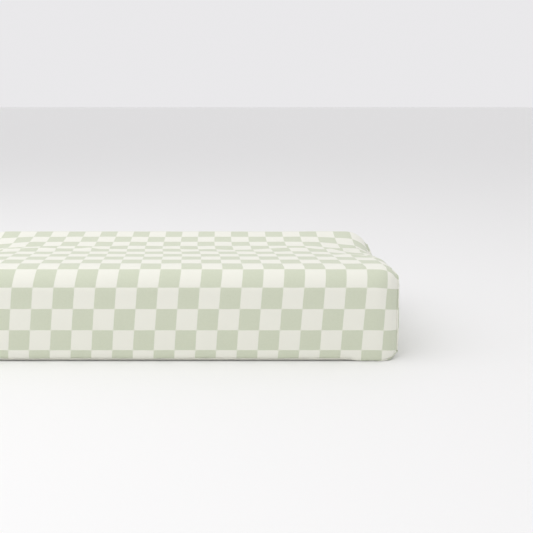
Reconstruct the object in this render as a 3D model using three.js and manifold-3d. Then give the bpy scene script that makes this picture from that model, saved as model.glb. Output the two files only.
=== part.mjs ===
// Two-sided contoured changing pad in a fitted checked cover.
// Millimetres, +Z up. X runs along the pad, Y across it, and the origin is the
// centre of the footprint on the surface that the pad lies on.

import * as THREE from "three";
import { mergeVertices } from "three/addons/utils/BufferGeometryUtils.js";
import Module from "manifold-3d";

const wasm = await Module();
wasm.setup();

// ---- Driving dimensions -----------------------------------------------------

const PAD_LENGTH = 816;          // over the fitted cover, 32 in pad plus cloth and seams
const PAD_WIDTH = 406;           // 16 in
const PAD_HEIGHT = 154;          // crest of the raised sides, 6 in plus liner and cloth
const TOP_EDGE_R = 34;           // long top edges
const BOTTOM_EDGE_R = 26;        // long bottom edges
const END_EDGE_R = 23;           // top and bottom edges of the two ends
const PLAN_CORNER_R = 45;        // upright corners

const CLEARANCE = 0.4;           // between one layer of the pad and the next
const TOUCH = 0.3;               // between pieces that lie against each other

const COVER_WALL = 1.2;
const COVER_SAG = 11;            // dip of the cover, which spans the hollow
const COVER_SAG_FLAT = 30;       // width of the bottom of that dip
const END_SEAM_INSET = 8;       // end seams, in from the end faces

const HEM_HEIGHT = 5.1;          // rolled hem with the elastic in it
const HEM_WIDTH = 18;
const HEM_ROLL_R = 1.5;
const ELASTIC_WIDTH = 12;
const ELASTIC_THICKNESS = 1.2;

const LINER_WALL = 1.0;
const LINER_BOTTOM_R = 22.5;
const HOLLOW_DEPTH = 40;         // the foam's hollow, below the crests
const HOLLOW_FLAT = 150;         // width of its flat floor
const BASE_MARGIN = 17;          // base panel's edge, in from the cover's face

const ZIP_LENGTH = 640;
const ZIP_Y = -115;
const ZIP_SLOT_WIDTH = 18;
const TAPE_WIDTH = 14;
const TAPE_THICKNESS = 0.6;
const CHAIN_GAP = 1.4;           // between the two coils, where the slider's post runs
const COIL_WIDTH = 2.4;
const COIL_HEIGHT = 2.0;
const STOP_LENGTH = 5;
const SLIDER_LENGTH = 12;
const SLIDER_WIDTH = 10;
const SLIDER_PLATE = 1.0;
const SLIDER_POST_LENGTH = 2.5;
const SLIDER_END_GAP = 2;        // slider to the stop at the closed end
const PULL_LENGTH = 24;
const PULL_WIDTH = 7;
const PULL_THICKNESS = 0.7;
const CROWN_WIDTH = 1.6;
const CROWN_BAR = 0.6;
const CROWN_OPENING = 1.0;
const CROWN_LENGTH = 7;

const BELT_X = 0;
const WEB_WIDTH = 25;
const WEB_THICKNESS = 1.4;
const BELT_REACH = 72;           // stitched ends, from the pad's centre line
const PATCH_LENGTH = 22;
const PATCH_THICKNESS = 1.0;
const BUCKLE_WIDTH = 34;
const BUCKLE_HEIGHT = 11;
const BUCKLE_WALL = 2;
const SOCKET_LENGTH = 32;
const PLUG_LENGTH = 20;
const PRONG_LENGTH = 24;
const PRONG_WIDTH = 5;
const PRONG_PAD = 1.6;           // how far the finger pads bow out at the sides
const GUIDE_WIDTH = 6;

const ANCHOR_X = 275;
const ANCHOR_LENGTH = 110;
const EYELET_HOLE_R = 3;
const EYELET_FLANGE_R = 6;
const EYELET_METAL = 0.5;
const EYELET_END = 12;           // eyelet's centre, in from the strap's free end

const DOT_R = 5;
const DOT_HEIGHT = 0.9;
const DOT_PITCH_X = 110;
const DOT_PITCH_Y = 55;
const DOT_COLUMNS = 7;
const DOT_ROWS = 4;
const DOT_FIRST_Y = -65;

const LABEL_LENGTH = 40;
const LABEL_WIDTH = 25;
const LABEL_THICKNESS = 0.3;
const LABEL_X = -300;

// ---- Levels and places that follow from them --------------------------------

const HALF_LENGTH = PAD_LENGTH / 2;
const HALF_WIDTH = PAD_WIDTH / 2;
const LINER_INSET = COVER_WALL + CLEARANCE;
const FOAM_INSET = LINER_INSET + LINER_WALL + CLEARANCE;
const BASE_BOTTOM = HEM_HEIGHT + TOUCH;
const BASE_TOP = BASE_BOTTOM + LINER_WALL;
const FOAM_BOTTOM = BASE_TOP + CLEARANCE;
const SEAM_X = HALF_LENGTH - END_SEAM_INSET;
const HOLLOW_FLOOR = PAD_HEIGHT - LINER_INSET - HOLLOW_DEPTH;

const TAPE_BOTTOM = BASE_TOP + TOUCH;
const TAPE_TOP = TAPE_BOTTOM + TAPE_THICKNESS;
const COIL_TOP = TAPE_BOTTOM - TOUCH;
const COIL_BOTTOM = COIL_TOP - COIL_HEIGHT;
const CHAIN_HALF = CHAIN_GAP / 2 + COIL_WIDTH;
const SLIDER_TOP = TAPE_TOP + TOUCH + SLIDER_PLATE;
const SLIDER_FLOOR = COIL_BOTTOM - TOUCH - SLIDER_PLATE;
const SLIDER_X = ZIP_LENGTH / 2 - STOP_LENGTH - SLIDER_END_GAP - SLIDER_LENGTH / 2;
const PIN_Z = SLIDER_FLOOR - CROWN_OPENING / 2;
const GROOVE_TOP = SLIDER_TOP + 2;

const BUCKLE_BOTTOM = HOLLOW_FLOOR + PATCH_THICKNESS + WEB_THICKNESS + 3 * TOUCH;
const BUCKLE_MIDDLE = BUCKLE_BOTTOM + BUCKLE_HEIGHT / 2;
const MOUTH_Y = SOCKET_LENGTH / 2 - 4;       // the socket's open end

// ---- Colours ----------------------------------------------------------------

const SAGE = 0xc4cbb3;
const CREAM = 0xe9e9df;
const LINER_WHITE = 0xf2f1ec;
const FOAM_YELLOW = 0xefe6c8;
const WEB_GREY = 0xd8d7d2;
const PLASTIC_WHITE = 0xf4f4f1;
const NICKEL = 0xb9bbbd;

// ---- Helpers ----------------------------------------------------------------

const CURVE_STEPS = 5;
const SAME_POINT = 1e-6;

function material(color, roughness, metalness = 0) {
  return new THREE.MeshStandardMaterial({ color, roughness, metalness });
}

function toSolid(geometry) {
  const plain = geometry.index ? geometry.toNonIndexed() : geometry.clone();
  plain.deleteAttribute("normal");
  plain.deleteAttribute("uv");
  const merged = mergeVertices(plain, 1e-4);
  return new wasm.Manifold(new wasm.Mesh({
    numProp: 3,
    vertProperties: new Float32Array(merged.attributes.position.array),
    triVerts: new Uint32Array(merged.index.array),
  }));
}

function toGeometry(solid) {
  const mesh = solid.getMesh();
  const geometry = new THREE.BufferGeometry();
  geometry.setAttribute("position", new THREE.BufferAttribute(mesh.vertProperties, 3));
  geometry.setIndex(new THREE.BufferAttribute(mesh.triVerts, 1));
  geometry.computeVertexNormals();
  return geometry;
}

function piece(name, shape, look) {
  const geometry = shape.isBufferGeometry ? shape : toGeometry(shape);
  const mesh = new THREE.Mesh(geometry, look);
  mesh.name = name;
  return mesh;
}

// A block between two corners.
function block([x0, y0, z0], [x1, y1, z1]) {
  return new THREE.BoxGeometry(x1 - x0, y1 - y0, z1 - z0)
    .translate((x0 + x1) / 2, (y0 + y1) / 2, (z0 + z1) / 2);
}

function solidBlock(low, high) {
  return toSolid(block(low, high));
}

// The outline's points, without repeats and without points on a straight run,
// where the direction of a bevel would be lost to rounding.
function outlinePoints(path) {
  const all = path.getPoints(CURVE_STEPS);
  const distinct = all.filter((point, index) => point.distanceTo(all.at(index - 1)) > SAME_POINT);
  return distinct.filter((point, index) => {
    const into = point.clone().sub(distinct.at(index - 1)).normalize();
    const out = distinct[(index + 1) % distinct.length].clone().sub(point).normalize();
    return Math.abs(into.cross(out)) > SAME_POINT;
  });
}

function asPolygon(shape) {
  const polygon = new THREE.Shape(outlinePoints(shape));
  polygon.holes = shape.holes.map((hole) => new THREE.Path(outlinePoints(hole)));
  return polygon;
}

// An outline in X and Y, raised from z0 to z1.
function raised(shape, z0, z1, roll = 0) {
  const geometry = new THREE.ExtrudeGeometry(asPolygon(shape), {
    depth: z1 - z0 - 2 * roll,
    bevelEnabled: roll > 0,
    bevelThickness: roll,
    bevelSize: roll,
    bevelOffset: -roll,
    bevelSegments: 2,
  });
  return geometry.translate(0, 0, z0 + roll);
}

// An outline in Y and Z, run along X from -half to +half, its ends rounded by edgeR.
function alongX(shape, half, edgeR = 0) {
  const geometry = new THREE.ExtrudeGeometry(asPolygon(shape), {
    depth: 2 * (half - edgeR),
    bevelEnabled: edgeR > 0,
    bevelThickness: edgeR,
    bevelSize: edgeR,
    bevelOffset: -edgeR,
    bevelSegments: 5,
  });
  const turn = new THREE.Matrix4().makeBasis(
    new THREE.Vector3(0, 1, 0), new THREE.Vector3(0, 0, 1), new THREE.Vector3(1, 0, 0));
  return geometry.applyMatrix4(turn).translate(edgeR - half, 0, 0);
}

function roundedRectangle(halfX, halfY, r) {
  const shape = new THREE.Shape();
  shape.moveTo(-halfX + r, -halfY);
  shape.lineTo(halfX - r, -halfY);
  shape.absarc(halfX - r, -halfY + r, r, -Math.PI / 2, 0);
  shape.lineTo(halfX, halfY - r);
  shape.absarc(halfX - r, halfY - r, r, 0, Math.PI / 2);
  shape.lineTo(-halfX + r, halfY);
  shape.absarc(-halfX + r, halfY - r, r, Math.PI / 2, Math.PI);
  shape.lineTo(-halfX, -halfY + r);
  shape.absarc(-halfX + r, -halfY + r, r, Math.PI, 1.5 * Math.PI);
  return shape;
}

// ---- The pad's contoured body -----------------------------------------------

// Cross-section, inset from the cover's outer face. Both long sides rise to a
// crest; from each crest two equal arcs, convex and then concave, drop by `dip`
// to a flat of width `flat`.
function contour({ inset, bottom, bottomR, dip, flat }) {
  const half = HALF_WIDTH - inset;
  const top = PAD_HEIGHT - inset;
  const topR = TOP_EDGE_R - inset;
  const crest = half - topR;
  const run = crest - flat / 2;
  const slopeR = (run ** 2 + dip ** 2) / (4 * dip);
  const turn = 2 * Math.atan(dip / run);
  const up = Math.PI / 2;
  const shape = new THREE.Shape();
  shape.moveTo(-half + bottomR, bottom);
  shape.lineTo(half - bottomR, bottom);
  shape.absarc(half - bottomR, bottom + bottomR, bottomR, -Math.PI / 2, 0);
  shape.lineTo(half, top - topR);
  shape.absarc(crest, top - topR, topR, 0, Math.PI / 2);
  shape.absarc(crest, top - slopeR, slopeR, up, up + turn);
  shape.absarc(flat / 2, top - dip + slopeR, slopeR, turn - up, -up, true);
  shape.absarc(-flat / 2, top - dip + slopeR, slopeR, -up, -up - turn, true);
  shape.absarc(-crest, top - slopeR, slopeR, up - turn, up);
  shape.absarc(-crest, top - topR, topR, Math.PI / 2, Math.PI);
  shape.lineTo(-half, bottom + bottomR);
  shape.absarc(-half + bottomR, bottom + bottomR, bottomR, Math.PI, 1.5 * Math.PI);
  return shape;
}

function contouredBody(section) {
  const { inset } = section;
  const body = toSolid(alongX(contour(section), HALF_LENGTH - inset, END_EDGE_R - inset));
  const plan = roundedRectangle(HALF_LENGTH - inset, HALF_WIDTH - inset, PLAN_CORNER_R - inset);
  return body.intersect(toSolid(raised(plan, -1, PAD_HEIGHT + 1)));
}

// A slab of the whole footprint, used to keep what lies between two heights.
function slab(z0, z1) {
  return solidBlock([-PAD_LENGTH, -PAD_WIDTH, z0], [PAD_LENGTH, PAD_WIDTH, z1]);
}

// ---- Fitted cover -----------------------------------------------------------

function coverPieces() {
  const outer = { inset: 0, bottom: 0, bottomR: BOTTOM_EDGE_R, dip: COVER_SAG, flat: COVER_SAG_FLAT };
  const inner = { ...outer, inset: COVER_WALL, bottomR: BOTTOM_EDGE_R - COVER_WALL, bottom: COVER_WALL };
  const skin = contouredBody(outer)
    .subtract(contouredBody(inner))
    .intersect(slab(BASE_BOTTOM, PAD_HEIGHT + 1));
  const high = PAD_HEIGHT + 1;
  const middle = solidBlock([-SEAM_X, -HALF_WIDTH - 1, 0], [SEAM_X, HALF_WIDTH + 1, high]);
  const end = (x0, x1) => solidBlock([x0, -HALF_WIDTH - 1, 0], [x1, HALF_WIDTH + 1, high]);
  const rightEnd = end(SEAM_X + TOUCH, HALF_LENGTH + 1);
  const leftEnd = end(-HALF_LENGTH - 1, -SEAM_X - TOUCH);
  return [
    piece("cover_main_panel", skin.intersect(middle), material(SAGE, 0.9)),
    piece("cover_end_panel_left", skin.intersect(leftEnd), material(CREAM, 0.9)),
    piece("cover_end_panel_right", skin.intersect(rightEnd), material(CREAM, 0.9)),
  ];
}

// How far the cover's outer face has turned under at the top of the hem.
const HEM_INSET = BOTTOM_EDGE_R - Math.sqrt(BOTTOM_EDGE_R ** 2 - (BOTTOM_EDGE_R - BASE_BOTTOM) ** 2);

function ring(outerInset, innerInset, z0, z1, roll = 0) {
  const outline = (inset) =>
    roundedRectangle(HALF_LENGTH - inset, HALF_WIDTH - inset, PLAN_CORNER_R - inset);
  const shape = outline(outerInset);
  shape.holes.push(outline(innerInset));
  return toSolid(raised(shape, z0, z1, roll));
}

function hemPieces() {
  const inner = HEM_INSET + HEM_WIDTH;
  const middle = HEM_HEIGHT / 2;
  const tunnelHalf = ELASTIC_THICKNESS / 2 + TOUCH;
  const tunnel = ring(inner - ELASTIC_WIDTH - 3 * TOUCH, inner + 1, middle - tunnelHalf, middle + tunnelHalf);
  const casing = ring(HEM_INSET, inner, 0, HEM_HEIGHT, HEM_ROLL_R).subtract(tunnel);
  const elastic = ring(inner - ELASTIC_WIDTH - 2 * TOUCH, inner - 2 * TOUCH,
    middle - ELASTIC_THICKNESS / 2, middle + ELASTIC_THICKNESS / 2);
  return [
    piece("hem_casing", casing, material(SAGE, 0.9)),
    piece("hem_elastic", elastic, material(PLASTIC_WHITE, 0.7)),
  ];
}

// ---- Foam and its waterproof liner ------------------------------------------

function linerSection(inset, bottom, bottomR) {
  return { inset, bottom, bottomR, dip: HOLLOW_DEPTH, flat: HOLLOW_FLAT };
}

function zipSlot(halfWidth, z0, z1, extra = 0) {
  const half = ZIP_LENGTH / 2 + extra;
  return solidBlock([-half, ZIP_Y - halfWidth, z0], [half, ZIP_Y + halfWidth, z1]);
}

function innerPadPieces() {
  const lining = linerSection(LINER_INSET + LINER_WALL, BASE_TOP, LINER_BOTTOM_R - LINER_WALL);
  const topShell = contouredBody(linerSection(LINER_INSET, BASE_BOTTOM, LINER_BOTTOM_R))
    .subtract(contouredBody(lining))
    .intersect(slab(BASE_TOP + TOUCH, PAD_HEIGHT));
  const basePlan = roundedRectangle(
    HALF_LENGTH - BASE_MARGIN, HALF_WIDTH - BASE_MARGIN, PLAN_CORNER_R - BASE_MARGIN);
  const base = toSolid(raised(basePlan, BASE_BOTTOM, BASE_TOP))
    .subtract(zipSlot(ZIP_SLOT_WIDTH / 2, 0, FOAM_BOTTOM))
    .add(gripDots());
  const foam = contouredBody(linerSection(FOAM_INSET, FOAM_BOTTOM, LINER_BOTTOM_R - LINER_WALL))
    .subtract(zipSlot(TAPE_WIDTH + CHAIN_GAP, 0, GROOVE_TOP, STOP_LENGTH + CLEARANCE));
  return [
    piece("foam_core", foam, material(FOAM_YELLOW, 0.95)),
    piece("liner_top_shell", topShell, material(LINER_WHITE, 0.55)),
    piece("liner_base_panel", base, material(LINER_WHITE, 0.6)),
  ];
}

// Moulded dots that stand out of the base panel's underside.
function gripDots() {
  const dots = [];
  const height = DOT_HEIGHT + LINER_WALL / 2;
  for (let column = 0; column < DOT_COLUMNS; column += 1) {
    for (let row = 0; row < DOT_ROWS; row += 1) {
      const x = (column - (DOT_COLUMNS - 1) / 2) * DOT_PITCH_X;
      const y = DOT_FIRST_Y + row * DOT_PITCH_Y;
      const dot = new THREE.CylinderGeometry(DOT_R, DOT_R, height, 10).rotateX(Math.PI / 2);
      dots.push(toSolid(dot.translate(x, y, BASE_BOTTOM - DOT_HEIGHT + height / 2)));
    }
  }
  return wasm.Manifold.union(dots);
}

function careLabel() {
  const top = BASE_BOTTOM - TOUCH;
  const y = DOT_FIRST_Y + DOT_PITCH_Y / 2;
  const label = block(
    [LABEL_X - LABEL_LENGTH / 2, y - LABEL_WIDTH / 2, top - LABEL_THICKNESS],
    [LABEL_X + LABEL_LENGTH / 2, y + LABEL_WIDTH / 2, top]);
  return piece("care_label", label, material(PLASTIC_WHITE, 0.5));
}

// ---- Zip in the base --------------------------------------------------------

function zipSides() {
  const meshes = [];
  for (const [name, side] of [["front", -1], ["rear", 1]]) {
    const edge = ZIP_Y + side * (CHAIN_GAP / 2);
    const strip = (width, z0, z1, half) => {
      const far = edge + side * width;
      return block([-half, Math.min(edge, far), z0], [half, Math.max(edge, far), z1]);
    };
    const chainHalf = ZIP_LENGTH / 2 - STOP_LENGTH - TOUCH;
    const tape = strip(TAPE_WIDTH, TAPE_BOTTOM, TAPE_TOP, ZIP_LENGTH / 2);
    const coil = strip(COIL_WIDTH, COIL_BOTTOM, COIL_TOP, chainHalf);
    meshes.push(piece(`zip_tape_${name}`, tape, material(LINER_WHITE, 0.85)));
    meshes.push(piece(`zip_coil_${name}`, coil, material(LINER_WHITE, 0.45)));
  }
  return meshes;
}

function zipStops() {
  return [["closed", 1], ["open", -1]].map(([name, side]) => {
    const far = side * (ZIP_LENGTH / 2 - TOUCH);
    const near = side * (ZIP_LENGTH / 2 - STOP_LENGTH);
    const stop = block([Math.min(near, far), ZIP_Y - CHAIN_HALF, COIL_BOTTOM],
      [Math.max(near, far), ZIP_Y + CHAIN_HALF, COIL_TOP]);
    return piece(`zip_stop_${name}`, stop, material(NICKEL, 0.35, 1));
  });
}

function zipSlider() {
  const x0 = SLIDER_X - SLIDER_LENGTH / 2;
  const x1 = SLIDER_X + SLIDER_LENGTH / 2;
  const half = SLIDER_WIDTH / 2;
  const floorTop = SLIDER_FLOOR + SLIDER_PLATE;
  const flangeTop = TAPE_BOTTOM - TOUCH;
  const lower = solidBlock([x0, ZIP_Y - half, SLIDER_FLOOR], [x1, ZIP_Y + half, floorTop]);
  const upper = solidBlock([x0, ZIP_Y - half, SLIDER_TOP - SLIDER_PLATE], [x1, ZIP_Y + half, SLIDER_TOP]);
  const postHalf = CHAIN_GAP / 2 - TOUCH / 2;
  const post = solidBlock([x1 - SLIDER_POST_LENGTH, ZIP_Y - postHalf, SLIDER_FLOOR],
    [x1, ZIP_Y + postHalf, SLIDER_TOP]);
  const innerHalf = CHAIN_HALF + TOUCH;
  const flanges = [-1, 1].map((side) => solidBlock(
    [x0, ZIP_Y + (side < 0 ? -half : innerHalf), SLIDER_FLOOR],
    [x1, ZIP_Y + (side < 0 ? -innerHalf : half), flangeTop]));
  const crownLow = SLIDER_FLOOR - CROWN_OPENING - CROWN_BAR;
  const crownHalf = CROWN_LENGTH / 2;
  const crown = solidBlock([SLIDER_X - crownHalf, ZIP_Y - CROWN_WIDTH / 2, crownLow],
    [SLIDER_X + crownHalf, ZIP_Y + CROWN_WIDTH / 2, SLIDER_FLOOR]);
  const eye = solidBlock([SLIDER_X - crownHalf + 1.2, ZIP_Y - CROWN_WIDTH, SLIDER_FLOOR - CROWN_OPENING],
    [SLIDER_X + crownHalf - 1.2, ZIP_Y + CROWN_WIDTH, SLIDER_FLOOR]);
  const body = wasm.Manifold.union([lower, upper, post, ...flanges, crown.subtract(eye)]);
  return piece("zip_slider", body, material(NICKEL, 0.35, 1));
}

// The pull's pin runs through the slider's crown and its tab lies along -X.
function zipPull() {
  const half = PULL_THICKNESS / 2;
  const window = CROWN_LENGTH / 2 + 1.2;
  const tab = solidBlock([SLIDER_X - PULL_LENGTH, ZIP_Y - PULL_WIDTH / 2, PIN_Z - half],
    [SLIDER_X + half, ZIP_Y + PULL_WIDTH / 2, PIN_Z + half]);
  const opening = solidBlock([SLIDER_X - window, ZIP_Y - CROWN_WIDTH / 2 - 0.7, PIN_Z - 2],
    [SLIDER_X + window, ZIP_Y + CROWN_WIDTH / 2 + 0.7, PIN_Z + 2]);
  const pin = toSolid(new THREE.CylinderGeometry(half, half, PULL_WIDTH, 10)
    .translate(SLIDER_X, ZIP_Y, PIN_Z));
  return piece("zip_pull", tab.subtract(opening).add(pin), material(NICKEL, 0.35, 1));
}

// ---- Safety belt, stowed in the hollow under the cover ----------------------

function beltAnchor(name, side) {
  const near = side * (BELT_REACH - PATCH_LENGTH);
  const far = side * BELT_REACH;
  const z0 = HOLLOW_FLOOR + TOUCH;
  const patch = block([BELT_X - WEB_WIDTH / 2 - 3, Math.min(near, far), z0],
    [BELT_X + WEB_WIDTH / 2 + 3, Math.max(near, far), z0 + PATCH_THICKNESS]);
  return piece(name, patch, material(WEB_GREY, 0.85));
}

// Webbing from its stitched end up to the buckle's edge, then level into its slot.
function beltStrap(name, side, edgeY, slotY) {
  const low = HOLLOW_FLOOR + PATCH_THICKNESS + 2 * TOUCH;
  const high = BUCKLE_MIDDLE - WEB_THICKNESS / 2;
  const stitched = side * BELT_REACH;
  const rise = side * (BELT_REACH - PATCH_LENGTH);
  const level = edgeY + side * TOUCH;
  const middle = (rise + level) / 2;
  const shape = new THREE.Shape();
  shape.moveTo(stitched, low);
  shape.lineTo(rise, low);
  shape.bezierCurveTo(middle, low, middle, high, level, high);
  shape.lineTo(slotY, high);
  shape.lineTo(slotY, high + WEB_THICKNESS);
  shape.lineTo(level, high + WEB_THICKNESS);
  shape.bezierCurveTo(middle, high + WEB_THICKNESS, middle, low + WEB_THICKNESS, rise, low + WEB_THICKNESS);
  shape.lineTo(stitched, low + WEB_THICKNESS);
  return piece(name, toSolid(alongX(shape, WEB_WIDTH / 2)).translate([BELT_X, 0, 0]),
    material(WEB_GREY, 0.85));
}

const SOCKET_BACK = MOUTH_Y - SOCKET_LENGTH;
const BUCKLE_TOP = BUCKLE_BOTTOM + BUCKLE_HEIGHT;
const CAVITY_LOW = BUCKLE_BOTTOM + BUCKLE_WALL;
const CAVITY_HIGH = BUCKLE_TOP - BUCKLE_WALL;
const SLOT_DEPTH = 5;            // how far the webbing runs into each half of the buckle

// Two plates held apart by the back wall, open at the mouth and at both sides,
// where the plug's finger pads show.
function buckleSocket() {
  const half = BUCKLE_WIDTH / 2;
  const shell = solidBlock([BELT_X - half, SOCKET_BACK, BUCKLE_BOTTOM], [BELT_X + half, MOUTH_Y, BUCKLE_TOP]);
  const cavity = solidBlock([BELT_X - half - 1, MOUTH_Y - PRONG_LENGTH - 2 * TOUCH, CAVITY_LOW],
    [BELT_X + half + 1, MOUTH_Y + 1, CAVITY_HIGH]);
  const slot = solidBlock([BELT_X - WEB_WIDTH / 2 - 1, SOCKET_BACK - 1, BUCKLE_MIDDLE - WEB_THICKNESS],
    [BELT_X + WEB_WIDTH / 2 + 1, SOCKET_BACK + SLOT_DEPTH, BUCKLE_MIDDLE + WEB_THICKNESS]);
  return piece("buckle_socket", shell.subtract(cavity).subtract(slot), material(PLASTIC_WHITE, 0.4));
}

// A shoulder that butts against the socket's mouth, a middle guide and two
// sprung prongs with finger pads.
function bucklePlug() {
  const half = BUCKLE_WIDTH / 2;
  const start = MOUTH_Y + TOUCH;
  const end = start + PLUG_LENGTH;
  const low = CAVITY_LOW + TOUCH;
  const high = CAVITY_HIGH - TOUCH;
  const shoulder = solidBlock([BELT_X - half, start, BUCKLE_BOTTOM + 0.5], [BELT_X + half, end, BUCKLE_TOP - 0.5]);
  const slot = solidBlock([BELT_X - WEB_WIDTH / 2 - 1, end - SLOT_DEPTH, BUCKLE_MIDDLE - WEB_THICKNESS],
    [BELT_X + WEB_WIDTH / 2 + 1, end + 1, BUCKLE_MIDDLE + WEB_THICKNESS]);
  const tip = start - PRONG_LENGTH;
  const parts = [-1, 1].flatMap((side) => {
    const outer = BELT_X + side * half;
    const inner = outer - side * PRONG_WIDTH;
    const pad = outer + side * PRONG_PAD;
    const bar = (a, b, y0, y1) => solidBlock([Math.min(a, b), y0, low], [Math.max(a, b), y1, high]);
    return [bar(inner, outer, tip, start + 1), bar(inner, pad, tip + 5, tip + 16)];
  });
  const guide = solidBlock([BELT_X - GUIDE_WIDTH / 2, tip + 6, low],
    [BELT_X + GUIDE_WIDTH / 2, start + 1, high]);
  const body = wasm.Manifold.union([shoulder.subtract(slot), ...parts, guide]);
  return piece("buckle_plug", body, material(PLASTIC_WHITE, 0.4));
}

function beltPieces() {
  const plugEnd = MOUTH_Y + TOUCH + PLUG_LENGTH;
  return [
    beltAnchor("belt_anchor_front", -1),
    beltAnchor("belt_anchor_rear", 1),
    beltStrap("belt_strap_front", -1, SOCKET_BACK, SOCKET_BACK + SLOT_DEPTH - TOUCH),
    beltStrap("belt_strap_rear", 1, plugEnd, plugEnd - SLOT_DEPTH + TOUCH),
    buckleSocket(),
    bucklePlug(),
  ];
}

// ---- Straps that tie the pad to the furniture, folded under it --------------

function anchorPieces() {
  const eyeletTop = BASE_BOTTOM - TOUCH;
  const webTop = eyeletTop - EYELET_METAL - TOUCH;
  const webBottom = webTop - WEB_THICKNESS;
  const eyeletBottom = webBottom - TOUCH - EYELET_METAL;
  const rear = HALF_WIDTH - HEM_INSET - HEM_WIDTH - 2;
  const front = rear - ANCHOR_LENGTH;
  const eyeletY = front + EYELET_END;
  const barrelR = EYELET_HOLE_R + EYELET_METAL;
  return [["left", -1], ["right", 1]].flatMap(([name, side]) => {
    const x = side * ANCHOR_X;
    const hole = toSolid(new THREE.CylinderGeometry(barrelR + TOUCH, barrelR + TOUCH, 6, 20)
      .rotateX(Math.PI / 2).translate(x, eyeletY, webTop));
    const web = solidBlock([x - WEB_WIDTH / 2, front, webBottom], [x + WEB_WIDTH / 2, rear, webTop]).subtract(hole);
    const profile = [
      [EYELET_HOLE_R, eyeletBottom], [EYELET_FLANGE_R, eyeletBottom],
      [EYELET_FLANGE_R, eyeletBottom + EYELET_METAL], [barrelR, eyeletBottom + EYELET_METAL],
      [barrelR, eyeletTop - EYELET_METAL], [EYELET_FLANGE_R, eyeletTop - EYELET_METAL],
      [EYELET_FLANGE_R, eyeletTop], [EYELET_HOLE_R, eyeletTop], [EYELET_HOLE_R, eyeletBottom],
    ].map(([r, z]) => new THREE.Vector2(r, z));
    const eyelet = new THREE.LatheGeometry(profile, 20).rotateX(Math.PI / 2);
    return [
      piece(`anchor_strap_${name}`, web, material(WEB_GREY, 0.85)),
      piece(`anchor_eyelet_${name}`, toSolid(eyelet.translate(x, eyeletY, 0)), material(NICKEL, 0.35, 1)),
    ];
  });
}

// ---- Assembly ---------------------------------------------------------------

const pad = new THREE.Group();
pad.add(
  ...coverPieces(),
  ...hemPieces(),
  ...innerPadPieces(),
  careLabel(),
  ...zipSides(),
  ...zipStops(),
  zipSlider(),
  zipPull(),
  ...beltPieces(),
  ...anchorPieces(),
);

export default pad;
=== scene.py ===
"""A two-sided contoured changing pad in a fitted checked cover, with its foam, liner, zip and safety belt."""

import math
from dataclasses import dataclass
from typing import Callable

import bmesh
import bpy
import numpy as np
from bpy.props import FloatProperty, FloatVectorProperty, PointerProperty
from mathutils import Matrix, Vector


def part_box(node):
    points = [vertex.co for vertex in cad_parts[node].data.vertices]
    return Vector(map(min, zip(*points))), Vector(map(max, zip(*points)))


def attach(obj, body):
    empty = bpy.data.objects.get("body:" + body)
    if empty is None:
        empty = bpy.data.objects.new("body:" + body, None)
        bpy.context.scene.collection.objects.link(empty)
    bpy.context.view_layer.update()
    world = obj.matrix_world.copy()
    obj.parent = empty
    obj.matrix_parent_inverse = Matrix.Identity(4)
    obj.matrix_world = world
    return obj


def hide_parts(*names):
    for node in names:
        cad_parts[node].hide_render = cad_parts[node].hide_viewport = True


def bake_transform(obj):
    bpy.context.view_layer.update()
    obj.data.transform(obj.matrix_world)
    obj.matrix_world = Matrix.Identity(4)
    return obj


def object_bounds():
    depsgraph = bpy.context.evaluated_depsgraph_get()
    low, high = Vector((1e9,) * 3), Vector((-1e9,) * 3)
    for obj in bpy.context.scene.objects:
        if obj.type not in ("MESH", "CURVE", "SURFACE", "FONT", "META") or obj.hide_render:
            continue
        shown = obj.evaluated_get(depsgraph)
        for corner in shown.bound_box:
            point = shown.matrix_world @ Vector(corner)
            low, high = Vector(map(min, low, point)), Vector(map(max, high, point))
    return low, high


bl_info = {
    "name": "Contoured Changing Pad",
    "version": (1, 0, 0),
    "blender": (4, 5, 0),
    "location": "3D View > Sidebar > Changing Pad",
    "description": "Builds a contoured changing pad, its fitted cover and what is inside it",
    "category": "Add Mesh",
}

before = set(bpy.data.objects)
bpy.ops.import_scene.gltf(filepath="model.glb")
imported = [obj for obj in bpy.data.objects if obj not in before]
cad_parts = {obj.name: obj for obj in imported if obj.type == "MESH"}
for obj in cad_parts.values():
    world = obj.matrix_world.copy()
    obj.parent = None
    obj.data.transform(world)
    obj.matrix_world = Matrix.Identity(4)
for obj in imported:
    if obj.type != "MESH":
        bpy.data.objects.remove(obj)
CAD_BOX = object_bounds()

MM = 0.001
PAD_BODY = "pad"
HALF_X = CAD_BOX[1].x
HALF_Y = CAD_BOX[1].y
PAD_TOP = CAD_BOX[1].z
HEM_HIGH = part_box("hem_casing")[1]
BASE_LOW, BASE_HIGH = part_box("liner_base_panel")
LINER_LOW, LINER_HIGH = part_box("liner_top_shell")
FOAM_LOW, FOAM_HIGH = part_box("foam_core")


# ---- Sizes and colours a user would change ----------------------------------


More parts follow.
